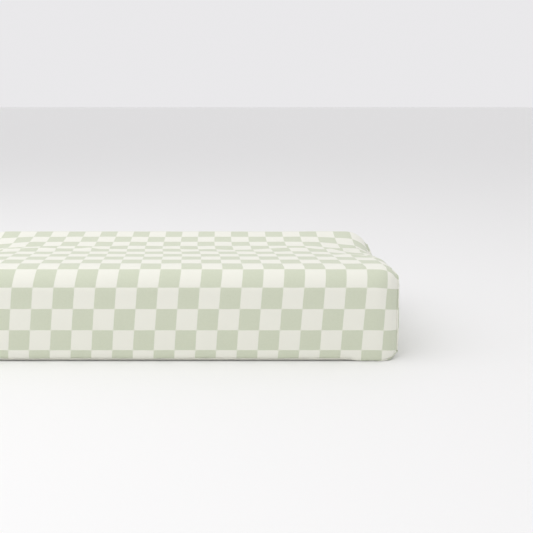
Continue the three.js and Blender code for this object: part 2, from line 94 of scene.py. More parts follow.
class CoverSettings(bpy.types.PropertyGroup):
    """Sizes and print of the fitted cover."""

    check_width: FloatProperty(
        name="Check width", description="Width of one printed check", default=33.7 * MM, unit="LENGTH"
    )
    check_height: FloatProperty(
        name="Check height", description="Height of one printed check", default=34.9 * MM, unit="LENGTH"
    )
    sage: FloatVectorProperty(
        name="Sage", description="Printed check", subtype="COLOR", default=(0.816, 0.839, 0.753)
    )
    cream: FloatVectorProperty(
        name="Off-white", description="Unprinted cloth", subtype="COLOR", default=(0.933, 0.933, 0.890)
    )
    front_crest: FloatProperty(
        name="Front crest", description="Height of the front raised side",
        default=PAD_TOP - 3.5 * MM, unit="LENGTH",
    )
    back_crest: FloatProperty(
        name="Back crest", description="Height of the back raised side", default=PAD_TOP, unit="LENGTH"
    )
    sag: FloatProperty(
        name="Sag", description="Dip of the cloth across the hollow", default=10.3 * MM, unit="LENGTH"
    )
    end_sag: FloatProperty(
        name="End sag", description="Further dip at the two ends", default=9 * MM, unit="LENGTH"
    )
    cloth: FloatProperty(
        name="Cloth", description="Thickness of the cloth", default=0.9 * MM, unit="LENGTH"
    )


class InnerSettings(bpy.types.PropertyGroup):
    """Sizes of what the cover holds."""

    hollow: FloatProperty(
        name="Hollow", description="Depth of the foam's hollow", default=40 * MM, unit="LENGTH"
    )
    webbing: FloatProperty(
        name="Webbing", description="Thickness of the belt webbing", default=1.4 * MM, unit="LENGTH"
    )
    zip_pitch: FloatProperty(
        name="Zip pitch", description="Spacing of the zip's coil turns", default=1.9 * MM, unit="LENGTH"
    )


def settings():
    return bpy.context.scene.changing_pad


class PadSettings(bpy.types.PropertyGroup):
    """All the settings of the changing pad."""

    cover: PointerProperty(type=CoverSettings)
    inner: PointerProperty(type=InnerSettings)


# ---- Meshes -----------------------------------------------------------------


def grid_faces(rows, columns, wrap_rows=False, wrap_columns=False):
    """Quads that join each point of a grid to its neighbours, closing the grid where it wraps."""
    i, j = np.meshgrid(
        np.arange(rows if wrap_rows else rows - 1),
        np.arange(columns if wrap_columns else columns - 1),
        indexing="ij",
    )
    next_i, next_j = (i + 1) % rows, (j + 1) % columns
    corners = (i * columns + j, next_i * columns + j, next_i * columns + next_j, i * columns + next_j)
    return np.stack(corners, -1).reshape(-1, 4).tolist()


def new_piece(
    name, points, faces, slot, material, body=PAD_BODY, uv=None, replaces=(), merge=0.0, outward=False
):
    """One mesh object from points and faces, riding on a body, with its material; the slot is not used."""
    mesh = bpy.data.meshes.new(name)
    mesh.from_pydata(np.asarray(points, float).reshape(-1, 3).tolist(), [], faces)
    if uv is not None:
        index = np.empty(len(mesh.loops), int)
        mesh.loops.foreach_get("vertex_index", index)
        layer = mesh.uv_layers.new(name="cloth")
        layer.data.foreach_set("uv", np.asarray(uv, float).reshape(-1, 2)[index].ravel())
    if merge or outward:
        work = bmesh.new()
        work.from_mesh(mesh)
        if merge:
            bmesh.ops.remove_doubles(work, verts=work.verts, dist=merge)
            bmesh.ops.delete(work, geom=[v for v in work.verts if not v.link_faces], context="VERTS")
        bmesh.ops.dissolve_degenerate(work, edges=work.edges, dist=1e-7)
        if outward:
            bmesh.ops.recalc_face_normals(work, faces=work.faces)
        work.to_mesh(mesh)
        work.free()
    mesh.validate()
    mesh.shade_smooth()
    piece = bpy.data.objects.new(name, mesh)
    bpy.context.collection.objects.link(piece)
    mesh.materials.append(material)
    if body:
        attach(piece, body)
    if replaces:
        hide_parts(*replaces)
    return piece


def add_thickness(piece, thickness, offset=-1.0):
    """Turns a surface into a wall: inside it at offset -1, and half to each side of it at 0."""
    wall = piece.modifiers.new("cloth thickness", "SOLIDIFY")
    wall.thickness = thickness
    wall.offset = offset


def turned(faces, flip):
    """The faces as they are, or wound the other way."""
    return [face[::-1] for face in faces] if flip else faces


def joined(parts):
    """Several (points, faces) joined into one pair."""
    points, faces, start = [], [], 0
    for part_points, part_faces in parts:
        part_points = np.asarray(part_points, float).reshape(-1, 3)
        points.append(part_points)
        faces += [[index + start for index in face] for face in part_faces]
        start += len(part_points)
    return np.concatenate(points), faces


def rounded_box(low, high, radius, steps=3):
    """A box whose edges and corners are rounded: each direction of a sphere of that radius, moved out to
    the corner of the inner box that it points to. Repeated directions at the quarter turns make the flats."""
    low, high = np.array(low, float), np.array(high, float)
    centre, half = (low + high) / 2, (high - low) / 2
    radius = min(radius, *(half * 0.98))
    quarter = np.linspace(0, math.pi / 2, steps + 1)
    round_turn = np.concatenate([quarter + k * math.pi / 2 for k in range(4)])
    sign_x = np.repeat([1, -1, -1, 1], steps + 1)
    sign_y = np.repeat([1, 1, -1, -1], steps + 1)
    lift = np.concatenate([quarter - math.pi / 2, quarter])
    sign_z = np.repeat([-1, 1], steps + 1)
    inner = half - radius
    x = radius * np.cos(lift)[:, None] * np.cos(round_turn) + inner[0] * sign_x
    y = radius * np.cos(lift)[:, None] * np.sin(round_turn) + inner[1] * sign_y
    z = np.broadcast_to((radius * np.sin(lift) + inner[2] * sign_z)[:, None], x.shape)
    points = np.stack([x, y, z], -1) + centre
    rows, columns = x.shape
    faces = turned(grid_faces(rows, columns, wrap_columns=True), True)
    last = (rows - 1) * columns
    faces.append(list(range(columns))[::-1])
    faces.append(list(range(last, last + columns)))
    return points, faces


def swept(path, width_way, profile, closed=False):
    """A profile carried along a path. Each ring holds the profile's first value along width_way and its
    second along the path's own normal, which is square to the path and to width_way."""
    path = np.asarray(path, float)
    if closed:
        along = np.roll(path, -1, 0) - np.roll(path, 1, 0)
    else:
        along = np.gradient(path, axis=0)
    along /= np.linalg.norm(along, axis=1, keepdims=True)
    width_way = np.broadcast_to(np.asarray(width_way, float), path.shape)
    side = width_way - (width_way * along).sum(1, keepdims=True) * along
    side /= np.linalg.norm(side, axis=1, keepdims=True)
    normal = np.cross(along, side)
    profile = np.asarray(profile, float)
    if profile.ndim == 2:
        profile = np.broadcast_to(profile, (len(path), *profile.shape))
    points = path[:, None] + profile[..., :1] * side[:, None] + profile[..., 1:] * normal[:, None]
    rows, columns = points.shape[:2]
    faces = grid_faces(rows, columns, wrap_rows=closed, wrap_columns=True)
    if not closed:
        last = (rows - 1) * columns
        faces.append(list(range(columns)))
        faces.append(list(range(last, last + columns))[::-1])
    return points, faces


def flat_band(width, thickness, edge_steps=4, flats=5):
    """The section of a strap: two flats joined by half-round edges, as points of a closed loop."""
    r = thickness / 2
    turn = np.linspace(-math.pi / 2, math.pi / 2, edge_steps + 1)
    right = np.stack([width / 2 - r + r * np.cos(turn), r * np.sin(turn)], -1)
    top = np.stack([np.linspace(width / 2 - r, r - width / 2, flats + 2)[1:-1], np.full(flats, r)], -1)
    return np.concatenate([right, top, -right, -top])


def round_section(radius, sides):
    """The section of a thread: a circle, as points of a closed loop."""
    turn = np.arange(sides) * 2 * math.pi / sides
    return np.stack([radius * np.cos(turn), radius * np.sin(turn)], -1)


def lengths_along(path):
    """How far along a path each of its points lies."""
    return np.concatenate([[0], np.cumsum(np.linalg.norm(np.diff(path, axis=0), axis=1))])


def smooth_step(value):
    """Eases from 0 to 1 as the value does, and stays there beyond."""
    value = np.clip(value, 0, 1)
    return value * value * (3 - 2 * value)


def smooth_noise(x, y, size, seed):
    """Soft bumps about one size apart: a few sine waves in seeded directions and phases, added up."""
    draw = np.random.default_rng(seed)
    waves, total = 7, 0
    for _ in range(waves):
        turn, phase = draw.uniform(0, math.pi), draw.uniform(0, 2 * math.pi)
        wave = 2 * math.pi / (size * draw.uniform(0.7, 1.5))
        total = total + np.sin(wave * (x * math.cos(turn) + y * math.sin(turn)) + phase)
    return total / waves


# ---- Materials --------------------------------------------------------------


def linear(colour):
    """An sRGB hex value, or three sRGB numbers from 0 to 1, as a linear colour with alpha."""
    if isinstance(colour, str):
        colour = [int(colour[i : i + 2], 16) / 255 for i in (1, 3, 5)]
    turned = [c / 12.92 if c <= 0.04045 else ((c + 0.055) / 1.055) ** 2.4 for c in colour]
    return (*turned, 1.0)


def add_node(tree, kind, links=(), **values):
    """Adds a node, sets its properties and socket defaults, and links (output, input name) pairs into it."""
    node = tree.nodes.new(kind)
    for key, value in values.items():
        if hasattr(node, key):
            setattr(node, key, value)
        else:
            node.inputs[key.replace("_", " ")].default_value = value
    for output, name in links:
        tree.links.new(output, node.inputs[name])
    return node


def new_material(name, **shader):
    """A material with only a Principled shader, whose plain values are set on its own sockets."""
    material = bpy.data.materials.new(name)
    material.use_nodes = True
    tree = material.node_tree
    principled = tree.nodes["Principled BSDF"]
    for key, value in shader.items():
        principled.inputs[key.replace("_", " ")].default_value = value
    return material, tree, principled


def math_node(tree, operation, a, b=None):
    """The output of a maths node, whose inputs are sockets or plain values."""
    node = tree.nodes.new("ShaderNodeMath")
    node.operation = operation
    for index, value in enumerate((a, b)):
        if isinstance(value, bpy.types.NodeSocket):
            tree.links.new(value, node.inputs[index])
        elif value is not None:
            node.inputs[index].default_value = value
    return node.outputs[0]


def add_bump(tree, principled, height, strength, depth):
    """Raises the surface's shading by the height, up to a depth in metres."""
    bump = add_node(tree, "ShaderNodeBump", [(height, "Height")], Strength=strength, Distance=depth)
    tree.links.new(bump.outputs[0], principled.inputs["Normal"])


def add_tone(tree, principled, share, low, high):
    """Mixes the base colour from two linear colours, by a share from 0 to 1."""
    mix = add_node(tree, "ShaderNodeMix", [(share, 0)], data_type="RGBA")
    mix.inputs[6].default_value = tuple(low)
    mix.inputs[7].default_value = tuple(high)
    tree.links.new(mix.outputs[2], principled.inputs["Base Color"])


def object_texture(tree, kind, **values):
    """A texture node that reads Object coordinates, and those coordinates' socket."""
    place = add_node(tree, "ShaderNodeTexCoord").outputs["Object"]
    return add_node(tree, kind, [(place, "Vector")], **values), place


def weave(tree, principled, vector, thread, strength, depth):
    """Plain weave: two sets of threads crossing at right angles, as fine ridges of the given spacing."""
    parts = add_node(tree, "ShaderNodeSeparateXYZ", [(vector, "Vector")])
    warp = math_node(tree, "SINE", math_node(tree, "MULTIPLY", parts.outputs[0], 2 * math.pi / thread))
    weft = math_node(tree, "SINE", math_node(tree, "MULTIPLY", parts.outputs[1], 2 * math.pi / thread))
    add_bump(tree, principled, math_node(tree, "MULTIPLY", warp, weft), strength, depth)


def printed_cotton():
    """Cotton percale, screen-printed with sage checks on off-white. Matt, faintly fuzzy at grazing angles;
    the ink is a little uneven, and the check edges are crisp but not ruled."""
    cover = settings().cover
    wobble_share, edge_sharpness, threads_per_check = 0.02, -28.0, 34
    material, tree, principled = new_material(
        "printed_cotton_percale",
        Roughness=0.85, Sheen_Weight=0.25, Sheen_Roughness=0.5, Specular_IOR_Level=0.25,
    )
    uv = add_node(tree, "ShaderNodeUVMap", uv_map="cloth").outputs[0]
    wobble = add_node(
        tree, "ShaderNodeTexNoise", [(uv, "Vector")], Scale=2.2, Detail=2.0, noise_dimensions="2D"
    )
    shifted = add_node(
        tree, "ShaderNodeVectorMath", [(wobble.outputs["Color"], "Vector")], operation="MULTIPLY_ADD"
    )
    shifted.inputs[1].default_value = (wobble_share, wobble_share, 0.0)
    tree.links.new(uv, shifted.inputs[2])
    parts = add_node(tree, "ShaderNodeSeparateXYZ", [(shifted.outputs[0], "Vector")])
    across = math_node(tree, "SINE", math_node(tree, "MULTIPLY", parts.outputs[0], math.pi))
    up = math_node(tree, "SINE", math_node(tree, "MULTIPLY", parts.outputs[1], math.pi))
    ink = math_node(tree, "MULTIPLY_ADD", math_node(tree, "MULTIPLY", across, up), edge_sharpness)
    ink.node.inputs[2].default_value = 0.5
    ink.node.use_clamp = True
    patchy = add_node(
        tree, "ShaderNodeTexNoise", [(uv, "Vector")], Scale=9.0, Detail=4.0, noise_dimensions="2D"
    )
    spread = add_node(
        tree, "ShaderNodeMapRange", [(patchy.outputs[0], "Value")],
        From_Min=0.3, From_Max=0.7, To_Min=0.93, To_Max=1.0,
    )
    ink = math_node(tree, "MULTIPLY", ink, spread.outputs[0])
    add_tone(tree, principled, ink, linear(cover.cream), linear(cover.sage))
    weave(tree, principled, uv, 1 / threads_per_check, 0.25, 0.4 * MM)
    return material


def woven(name, colour, thread, roughness=0.8, strength=0.5):
    """Plain woven tape or cloth of one colour. The threads are drawn at the given spacing in metres."""
    material, tree, principled = new_material(
        name, Roughness=roughness, Sheen_Weight=0.2, Specular_IOR_Level=0.3
    )
    shade, place = object_texture(tree, "ShaderNodeTexNoise", Scale=180.0, Detail=3.0)
    base = np.array(linear(colour))
    add_tone(tree, principled, shade.outputs[0], base * (0.9, 0.9, 0.9, 1), base)
    weave(tree, principled, place, thread, strength, 0.3 * MM)
    return material


def moulded(name, colour, roughness, grain, strength=0.15):
    """Moulded or cast plastic of one colour, with a fine surface grain of the given size in metres."""
    material, tree, principled = new_material(name, Roughness=roughness, IOR=1.5)
    grains, _ = object_texture(tree, "ShaderNodeTexNoise", Scale=1 / grain, Detail=3.0)
    base = np.array(linear(colour))
    add_tone(tree, principled, grains.outputs[0], base * (0.95, 0.95, 0.95, 1), base)
    add_bump(tree, principled, grains.outputs[0], strength, 0.4 * MM)
    return material


def cut_foam():
    """Open-cell polyurethane foam, sawn to shape: pale, dull, with pores of about a millimetre."""
    material, tree, principled = new_material("cut_polyurethane_foam", Roughness=0.95, Specular_IOR_Level=0.2)
    pore_size = 1.4 * MM
    pores = object_texture(tree, "ShaderNodeTexVoronoi", Scale=1 / pore_size)[0].outputs["Distance"]
    # The colour darkens towards each pore's middle, where the bump is lowest: painted shade in the pores.
    add_tone(tree, principled, pores, linear("#CFC49C"), linear("#F1E8CB"))
    add_bump(tree, principled, pores, 0.6, 0.8 * MM)
    return material


def nickel_plate():
    """Nickel-plated zinc: a warm grey metal, polished, with faint tumbling marks in its gloss."""
    material, tree, principled = new_material("nickel_plated_zinc", Metallic=1.0, Roughness=0.25)
    principled.inputs["Base Color"].default_value = linear("#C9C5BC")
    marks, _ = object_texture(tree, "ShaderNodeTexNoise", Scale=900.0, Detail=2.0)
    gloss = add_node(tree, "ShaderNodeMapRange", [(marks.outputs[0], "Value")], To_Min=0.2, To_Max=0.38)
    tree.links.new(gloss.outputs[0], principled.inputs["Roughness"])
    return material


MATERIALS = {}


def finish(name):
    """The named finish, made the first time that it is asked for."""
    makers = {
        "print": printed_cotton,
        "hem": lambda: woven("bleached_cotton_hem", "#EEEEE2", 0.9 * MM),
        "elastic": lambda: woven("braided_elastic", "#F3F3F0", 1.6 * MM, roughness=0.7),
        "foam": cut_foam,
        "vinyl": lambda: moulded("embossed_waterproof_vinyl", "#F0EFE9", 0.42, 1.2 * MM, strength=0.3),
        "dots": lambda: moulded("soft_pvc_dots", "#E2E2DC", 0.6, 0.6 * MM),
        "tape": lambda: woven("woven_polyester_zip_tape", "#ECECE6", 0.8 * MM),
        "coil": lambda: moulded("nylon_coil", "#F2F2EC", 0.35, 0.5 * MM, strength=0.05),
        "nickel": nickel_plate,
        "webbing": lambda: woven("woven_polyester_webbing", "#DEDDD8", 1.2 * MM, strength=0.8),
        "acetal": lambda: moulded("moulded_acetal", "#F5F5F2", 0.33, 0.8 * MM, strength=0.05),
        "satin": lambda: woven("woven_satin_label", "#F6F6F3", 0.6 * MM, roughness=0.45),
        "thread": lambda: woven("spun_polyester_thread", "#FBFBF6", 0.5 * MM),
    }
    if name not in MATERIALS:
        MATERIALS[name] = makers[name]()
    return MATERIALS[name]


# ---- The contoured body -----------------------------------------------------


@dataclass
class Contour:
    """The shape that the foam, the liner and the cover share, each at its own size. end_radius holds the
    rounding at an end: of its upright sides, of the top at the front and at the back, and of the bottom."""

    half_x: float
    half_y: float
    floor: float
    rim: float
    front_top: float
    back_top: float
    top_radius: float
    bottom_radius: float
    end_radius: tuple
    dip: Callable
    face_crown: float = 0.0


def section(body, count):
    """The cross-section from the rim under the front, up the front face, across the top and down to the rim
    under the back, as count evenly spaced points: quarter circles joined by a crowned face and a sloping
    line. Returns y, z, the outward normal's y and z, and the length along the cloth."""
    base, top = body.bottom_radius, body.top_radius
    start = math.asin(np.clip((base - (body.rim - body.floor)) / base, 0, 1))
    under = np.linspace(start, 0, 40)
    over = np.linspace(0, math.pi / 2, 60)
    climb = np.linspace(0, 1, 60)[1:-1]

    def half(crest):
        y_low = body.half_y - base + base * np.cos(under)
        z_low = body.floor + base - base * np.sin(under)
        z_face = body.floor + base + climb * (crest - top - body.floor - base)
        y_face = body.half_y + body.face_crown * np.sin(math.pi * climb) ** 2
        y_high = body.half_y - top + top * np.cos(over)
        z_high = crest - top + top * np.sin(over)
        return np.concatenate([y_low, y_face, y_high]), np.concatenate([z_low, z_face, z_high])

    y_front, z_front = half(body.front_top)
    y_back, z_back = half(body.back_top)
    flat = np.linspace(0, 1, 400)[1:-1]
    y = np.concatenate([-y_front, -y_front[-1] + flat * (y_back[-1] + y_front[-1]), y_back[::-1]])
    z = np.concatenate([z_front, z_front[-1] + flat * (z_back[-1] - z_front[-1]), z_back[::-1]])
    run = np.concatenate([[0], np.cumsum(np.hypot(np.diff(y), np.diff(z)))])
    even = np.linspace(0, run[-1], count)
    y, z = np.interp(even, run, y), np.interp(even, run, z)
    dy, dz = np.gradient(y), np.gradient(z)
    size = np.hypot(dy, dz)
    return y, z, -dz / size, dy / size, even


def end_reach(body, y, ny, nz):
    """Radius of the rounded end where the section faces (ny, nz): an ellipse through the side's radius and
    the top's or the bottom's. The top is rounder at the back, where the cloth is pulled tighter."""
    side, _, _, bottom = body.end_radius
    upright = np.where(nz > 0, top_end_radius(body, y), bottom)
    return np.sqrt((ny * side) ** 2 + (nz * upright) ** 2)


def top_end_radius(body, y):
    """How round the top is at the ends, easing from the front's radius to the back's."""
    _, front, back, _ = body.end_radius
    return front + (back - front) * smooth_step(y / 0.14)


# The seam runs round the pad's rounded ends, this far round from the length of the pad.
SEAM_ANGLE = math.radians(60)
# Towards the back, the cloth pulls the ends in by this share of the length, from PULL_START over PULL_SPAN.
PULL_SHARE, PULL_START, PULL_SPAN = 0.014, -0.03, 0.15


def pulled_in(y):
    """How much shorter the pad is towards the back, where the cloth pulls its ends in."""
    return 1 - PULL_SHARE * smooth_step((y - PULL_START) / PULL_SPAN)


def place_on(body, y, z, ny, nz, along, turn):
    """Points of the body. along runs from -1 to 1 between the rounded ends, and turn is the angle around
    an end. Each point is the section moved inward by r (1 - cos turn) and outward along X by r sin turn."""
    r = end_reach(body, y, ny, nz)
    side = np.sign(along)[:, None]
    turn = turn[:, None]
    x = along[:, None] * (body.half_x - r) + side * r * np.sin(turn)
    inset = r * (1 - np.cos(turn))
    drop = np.where(z > body.rim + body.bottom_radius, body.dip(y[None, :], x), 0)
    points = np.stack([x * pulled_in(y), y - ny * inset, z - drop - nz * inset], -1)
    normals = np.stack([side * np.sin(turn) + 0 * x, ny * np.cos(turn), nz * np.cos(turn)], -1)
    cloth_x = along[:, None] * (body.half_x - r) + side * r * turn
    return points, normals, cloth_x


def columns(middle, rounded):
    """Where the grid's columns lie: (along, turn) pairs from one end to the other."""
    turn = np.linspace(0, SEAM_ANGLE, rounded + 1)[1:]
    along = np.concatenate([-np.ones(rounded), np.linspace(-1, 1, middle), np.ones(rounded)])
    return along, np.concatenate([turn[::-1], np.zeros(middle), turn])


# The wall's lower rounding, as a share of the bottom radius, and the length of the line that its middle
# shrinks to, as a share of the pad's width.
BOTTOM_INSET, MEETING_LINE = 0.83, 0.7


def end_wall(body, outline, reach, side, rim_turn, rings=7, rows=12, bulge=0.0, relief=None, corners=()):
    """The end wall, from its outline inwards. The first rings finish the rounded edge: X is the body's
    half length less r (1 - sin turn), the outline shrinks towards the wall's middle in proportion to how
    far each point lies from it, and the outline's own unevenness fades. The others shrink straight to a
    level line across the middle, which bulges by a quarter sine. A point of the upper half and its partner
    in the lower half end at one place."""
    side_radius, _, _, bottom = body.end_radius
    top = top_end_radius(body, outline[:, 1])
    middle = (body.floor + body.front_top) / 2
    height = outline[:, 2] - middle
    inset_y = side_radius * math.cos(SEAM_ANGLE) * outline[:, 1] / body.half_y
    reach_z = np.where(height > 0, top * math.cos(SEAM_ANGLE), BOTTOM_INSET * bottom)
    inset_z = reach_z * height / (middle - body.floor)
    uneven = side * outline[:, 0] - (body.half_x - reach * (1 - np.sin(rim_turn))) * pulled_in(outline[:, 1])
    inner = outline[:, 1:] - np.column_stack([inset_y, inset_z])
    for index in corners:
        round_off(inner, index)
    grid = []
    for share in np.linspace(0, 1, rings + 1):
        turn = rim_turn + share * (math.pi / 2 - rim_turn)
        inward = (np.cos(rim_turn) - np.cos(turn)) / np.cos(rim_turn)
        y, z = (outline[:, 1:] + inward[:, None] * (inner - outline[:, 1:])).T
        x = (body.half_x - reach * (1 - np.sin(turn))) * pulled_in(y) + uneven * (1 - share)
        grid.append(np.column_stack([x, y, z]))
    half = len(outline) // 2
    start = first_of_upper_half(outline[:, 2], half)
    paired = np.roll(y, -start)
    limit = MEETING_LINE * body.half_y
    meeting_y = np.clip((paired[:half] + paired[half:][::-1]) / 2, -limit, limit)
    meeting_y = np.roll(np.concatenate([meeting_y, meeting_y[::-1]]), start)
    for share in np.linspace(0, 1, rows + 1)[1:]:
        inner_y = y + (meeting_y - y) * share
        x = (body.half_x + bulge * math.sin(math.pi / 2 * share)) * pulled_in(inner_y)
        grid.append(np.column_stack([x, inner_y, z + (middle - z) * share]))
    points = np.array(grid)
    if relief is not None:
        points[..., 0] += relief(points)
    points[..., 0] *= side
    faces = grid_faces(len(grid), len(outline), wrap_columns=True)
    return points.reshape(-1, 3), turned(faces, side < 0)


def round_off(ring, corner, on_side=18, below=7):
    """Replaces the outline's stretch around a lower corner by a quarter ellipse, in place. The corner is
    the index of the first point after it, and the outline comes down one side and leaves under the wall."""
    count = len(ring)
    if ring[corner, 1] > 0:
        index = np.arange(corner - on_side, corner + below) % count
    else:
        index = np.arange(corner + on_side, corner - below, -1) % count
    (side_y, side_z), (under_y, under_z) = ring[index[0]], ring[index[-1]]
    turn = np.linspace(0, math.pi / 2, len(index))
    ring[index, 0] = under_y + (side_y - under_y) * np.cos(turn)
    ring[index, 1] = side_z + (under_z - side_z) * np.sin(turn)


def first_of_upper_half(heights, half):
    """Where the upper half of a closed outline starts, given that its lower half holds as many points: both
    of its ends are as high as each other, and its middle is near the top."""
    uneven = np.abs(heights - np.roll(heights, 1 - half))
    near_top = 30 * MM
    low_middle = np.roll(heights, -(half // 2)) < heights.max() - near_top
    return int(np.argmin(uneven + low_middle))


# ---- The fitted cover -------------------------------------------------------


COVER_TOP_RADIUS, COVER_BOTTOM_RADIUS = 36 * MM, 12 * MM
COVER_END_RADIUS = (45 * MM, 34 * MM, 55 * MM, 30 * MM)
# The dip grows between these distances from the middle of the pad. Its hump is skewed and flattened.
END_SAG_START, END_SAG_FULL = 0.27, HALF_X - 20 * MM
DIP_SKEW, DIP_FLATTENING = 1.76, 1.15
# Columns between the rounded ends, columns round each end, and rows round the section.
COVER_MIDDLE, COVER_ROUNDED, COVER_AROUND = 136, 14, 300
# Outside this distance from the middle of the pad, the hem and the cover's rim come down to the ground.
CORNER_START, CORNER_DROP = 0.322, 4.0 * MM


def cover_dip(y, x):
    """How far the cloth dips between the crests: a sine hump, skewed towards the back and a little deeper at
    the ends."""
    cover = settings().cover
    crest = HALF_Y - COVER_TOP_RADIUS
    t = np.clip((y + crest) / (2 * crest), 0, 1)
    end = smooth_step((np.abs(x) - END_SAG_START) / (END_SAG_FULL - END_SAG_START))
    return (cover.sag + cover.end_sag * end) * np.sin(math.pi * t**DIP_SKEW) ** DIP_FLATTENING


def cover_contour():
    """The cover's own shape. Its faces are crowned, as cloth is that is stretched over foam."""
    cover = settings().cover
    return Contour(
        half_x=HALF_X, half_y=HALF_Y, floor=0.0, rim=HEM_HIGH.z,
        front_top=cover.front_crest, back_top=cover.back_crest,
        top_radius=COVER_TOP_RADIUS, bottom_radius=COVER_BOTTOM_RADIUS, end_radius=COVER_END_RADIUS,
        dip=cover_dip, face_crown=0.8 * MM,
    )


# Length along the cloth from the datum row on the front face, and the print's sideways drift there.
PRINT_DRIFT = (
    (-0.15, -0.0095), (-0.085, -0.0054), (0.0, 0.0013), (0.03, 0.0045), (0.083, -0.002),
    (0.152, -0.0075), (0.205, -0.014), (0.255, -0.0225), (0.325, -0.0275), (0.50, -0.036),
)
DRIFT_SPREAD = 20 * MM
DATUM_HEIGHT = 122.6 * MM
FIRST_CHECK_X = 112.1 * MM
# The cloth is stretched lengthways at the back right, and its rows climb towards the front's end corners.
STRETCH, STRETCH_START, STRETCH_SPAN, STRETCH_X = 0.05, 0.16, 0.13, 0.115
RIM_CREEP, RIM_START, RIM_SPAN = 0.05, 0.070, 0.030
CLIMB, CLIMB_SPAN, CLIMB_POWER = 0.18, 47 * MM, 1.5
FACE_MIDDLE, FACE_REACH, FACE_EASE = -0.0427, 0.14, 0.03


def print_drift(run):
    """The print's sideways drift: straight lines between a few places, rounded by averaging nearby values."""
    places, drifts = np.array(PRINT_DRIFT).T
    spread = np.linspace(-DRIFT_SPREAD, DRIFT_SPREAD, 9)
    return np.mean([np.interp(run + shift, places, drifts) for shift in spread], axis=0)


def print_place(cloth_x, run):
    """Cloth lengths turned into numbers of checks, for the printed material's map."""
    cover = settings().cover
    stretched = STRETCH * smooth_step((run - STRETCH_START) / STRETCH_SPAN)
    stretched = stretched * np.maximum(cloth_x - STRETCH_X, 0)
    u = (cloth_x - stretched - print_drift(run) - FIRST_CHECK_X) / cover.check_width
    v = run / cover.check_height - RIM_CREEP * smooth_step((-RIM_START - run) / RIM_SPAN)
    corner = np.clip((np.abs(cloth_x) - HALF_X + COVER_END_RADIUS[0]) / CLIMB_SPAN, 0, 1) ** CLIMB_POWER
    on_face = smooth_step((FACE_REACH - np.abs(run - FACE_MIDDLE)) / FACE_EASE)
    return np.stack([u, v + CLIMB * corner * on_face], -1)


# Folds where the cloth spans the hollow: centre x and y, length, turn in degrees, width, and height in
# millimetres, less than 0 for a groove. FOLD_STRENGTH multiplies all the heights.
FOLD_STRENGTH = 1.8
FOLDS = (
    (0.235, 0.030, 0.060, 4, 0.007, 1.6),
    (0.262, 0.048, 0.045, -6, 0.006, -1.2),
    (0.215, 0.012, 0.050, 8, 0.008, 1.1),
    (0.120, 0.030, 0.080, -3, 0.008, -1.0),
    (0.040, 0.040, 0.070, 5, 0.009, 0.9),
    (-0.137, 0.035, 0.035, 28, 0.006, 1.4),
    (-0.160, 0.060, 0.040, 12, 0.007, -1.0),
    (-0.190, 0.045, 0.070, -3, 0.008, 1.8),
    (-0.260, 0.030, 0.080, -4, 0.009, 1.4),
    (-0.310, 0.055, 0.060, 5, 0.008, -1.4),
    (0.345, 0.055, 0.045, 34, 0.006, 1.8),
    (0.352, 0.075, 0.045, 40, 0.005, -1.3),
    (0.330, 0.040, 0.050, 28, 0.007, 1.2),
    (0.345, -0.050, 0.040, -32, 0.007, 1.4),
    (-0.345, 0.055, 0.045, -34, 0.006, 1.8),
    (-0.340, -0.045, 0.045, 30, 0.007, 1.4),
    (-0.352, 0.075, 0.045, -40, 0.005, -1.3),
)


# Waves of the cloth: height, spacing and seed.
LONG_WAVES, SHORT_WAVES = (0.5 * MM, 0.16, 3), (0.35 * MM, 0.06, 8)
VALLEY_WRINKLES = (1.3 * MM, 0.026, 21)
SEAM_PUCKERS, RIM_GATHERS = (0.55 * MM, 0.013, 5), (0.45 * MM, 0.016, 11)
END_WAVES = (0.35 * MM, 0.11, 19)


def waves(kind, x, y):
    """One kind of waves at the given places, in metres."""
    height, spacing, seed = kind
    return height * smooth_noise(x, y, spacing, seed)


def cover_relief(points, run, cloth_x, total):
    """How far the cloth stands off its smooth shape, in metres: long soft unevenness, folds and wrinkles
    over the hollow, a tuck and puckers beside the end seams and gathers above the elastic."""
    seam_cloth_x = np.abs(cloth_x).max(axis=0, keepdims=True)
    run = run + 0 * cloth_x
    x, y = points[..., 0], points[..., 1]
    top = smooth_step((points[..., 2] - 0.10) / 0.02)
    relief = waves(LONG_WAVES, cloth_x, run) + waves(SHORT_WAVES, cloth_x, run)
    for fold_x, fold_y, length, turn, width, height in FOLDS:
        c, s = math.cos(math.radians(turn)), math.sin(math.radians(turn))
        along = (x - fold_x) * c + (y - fold_y) * s
        across = (y - fold_y) * c - (x - fold_x) * s
        hump = np.exp(-((along / length) ** 2) - (across / width) ** 2)
        relief = relief + FOLD_STRENGTH * top * height * MM * hump
    valley_y, valley_width, along_squeeze = 0.04, 0.05, 0.45
    hollow = np.exp(-(((y - valley_y) / valley_width) ** 2)) * top
    relief = relief + hollow * waves(VALLEY_WRINKLES, x * along_squeeze, y)
    from_end = np.maximum(HALF_X - np.abs(x) - 4 * MM, 0)
    relief = relief + np.exp(-from_end / (11 * MM)) * waves(SEAM_PUCKERS, run, cloth_x * 0.25)
    tuck_depth, tuck_from_seam, tuck_width = 1.3 * MM, 7.5 * MM, 4.5 * MM
    tuck = np.exp(-(((np.abs(cloth_x) - seam_cloth_x + tuck_from_seam) / tuck_width) ** 2))
    relief = relief - tuck_depth * tuck * (1 + 0.4 * smooth_noise(run, 0, 0.02, 6))
    near_rim = np.exp(-np.minimum(run, total - run) / (12 * MM))
    return relief + near_rim * waves(RIM_GATHERS, cloth_x, run * 0.3)


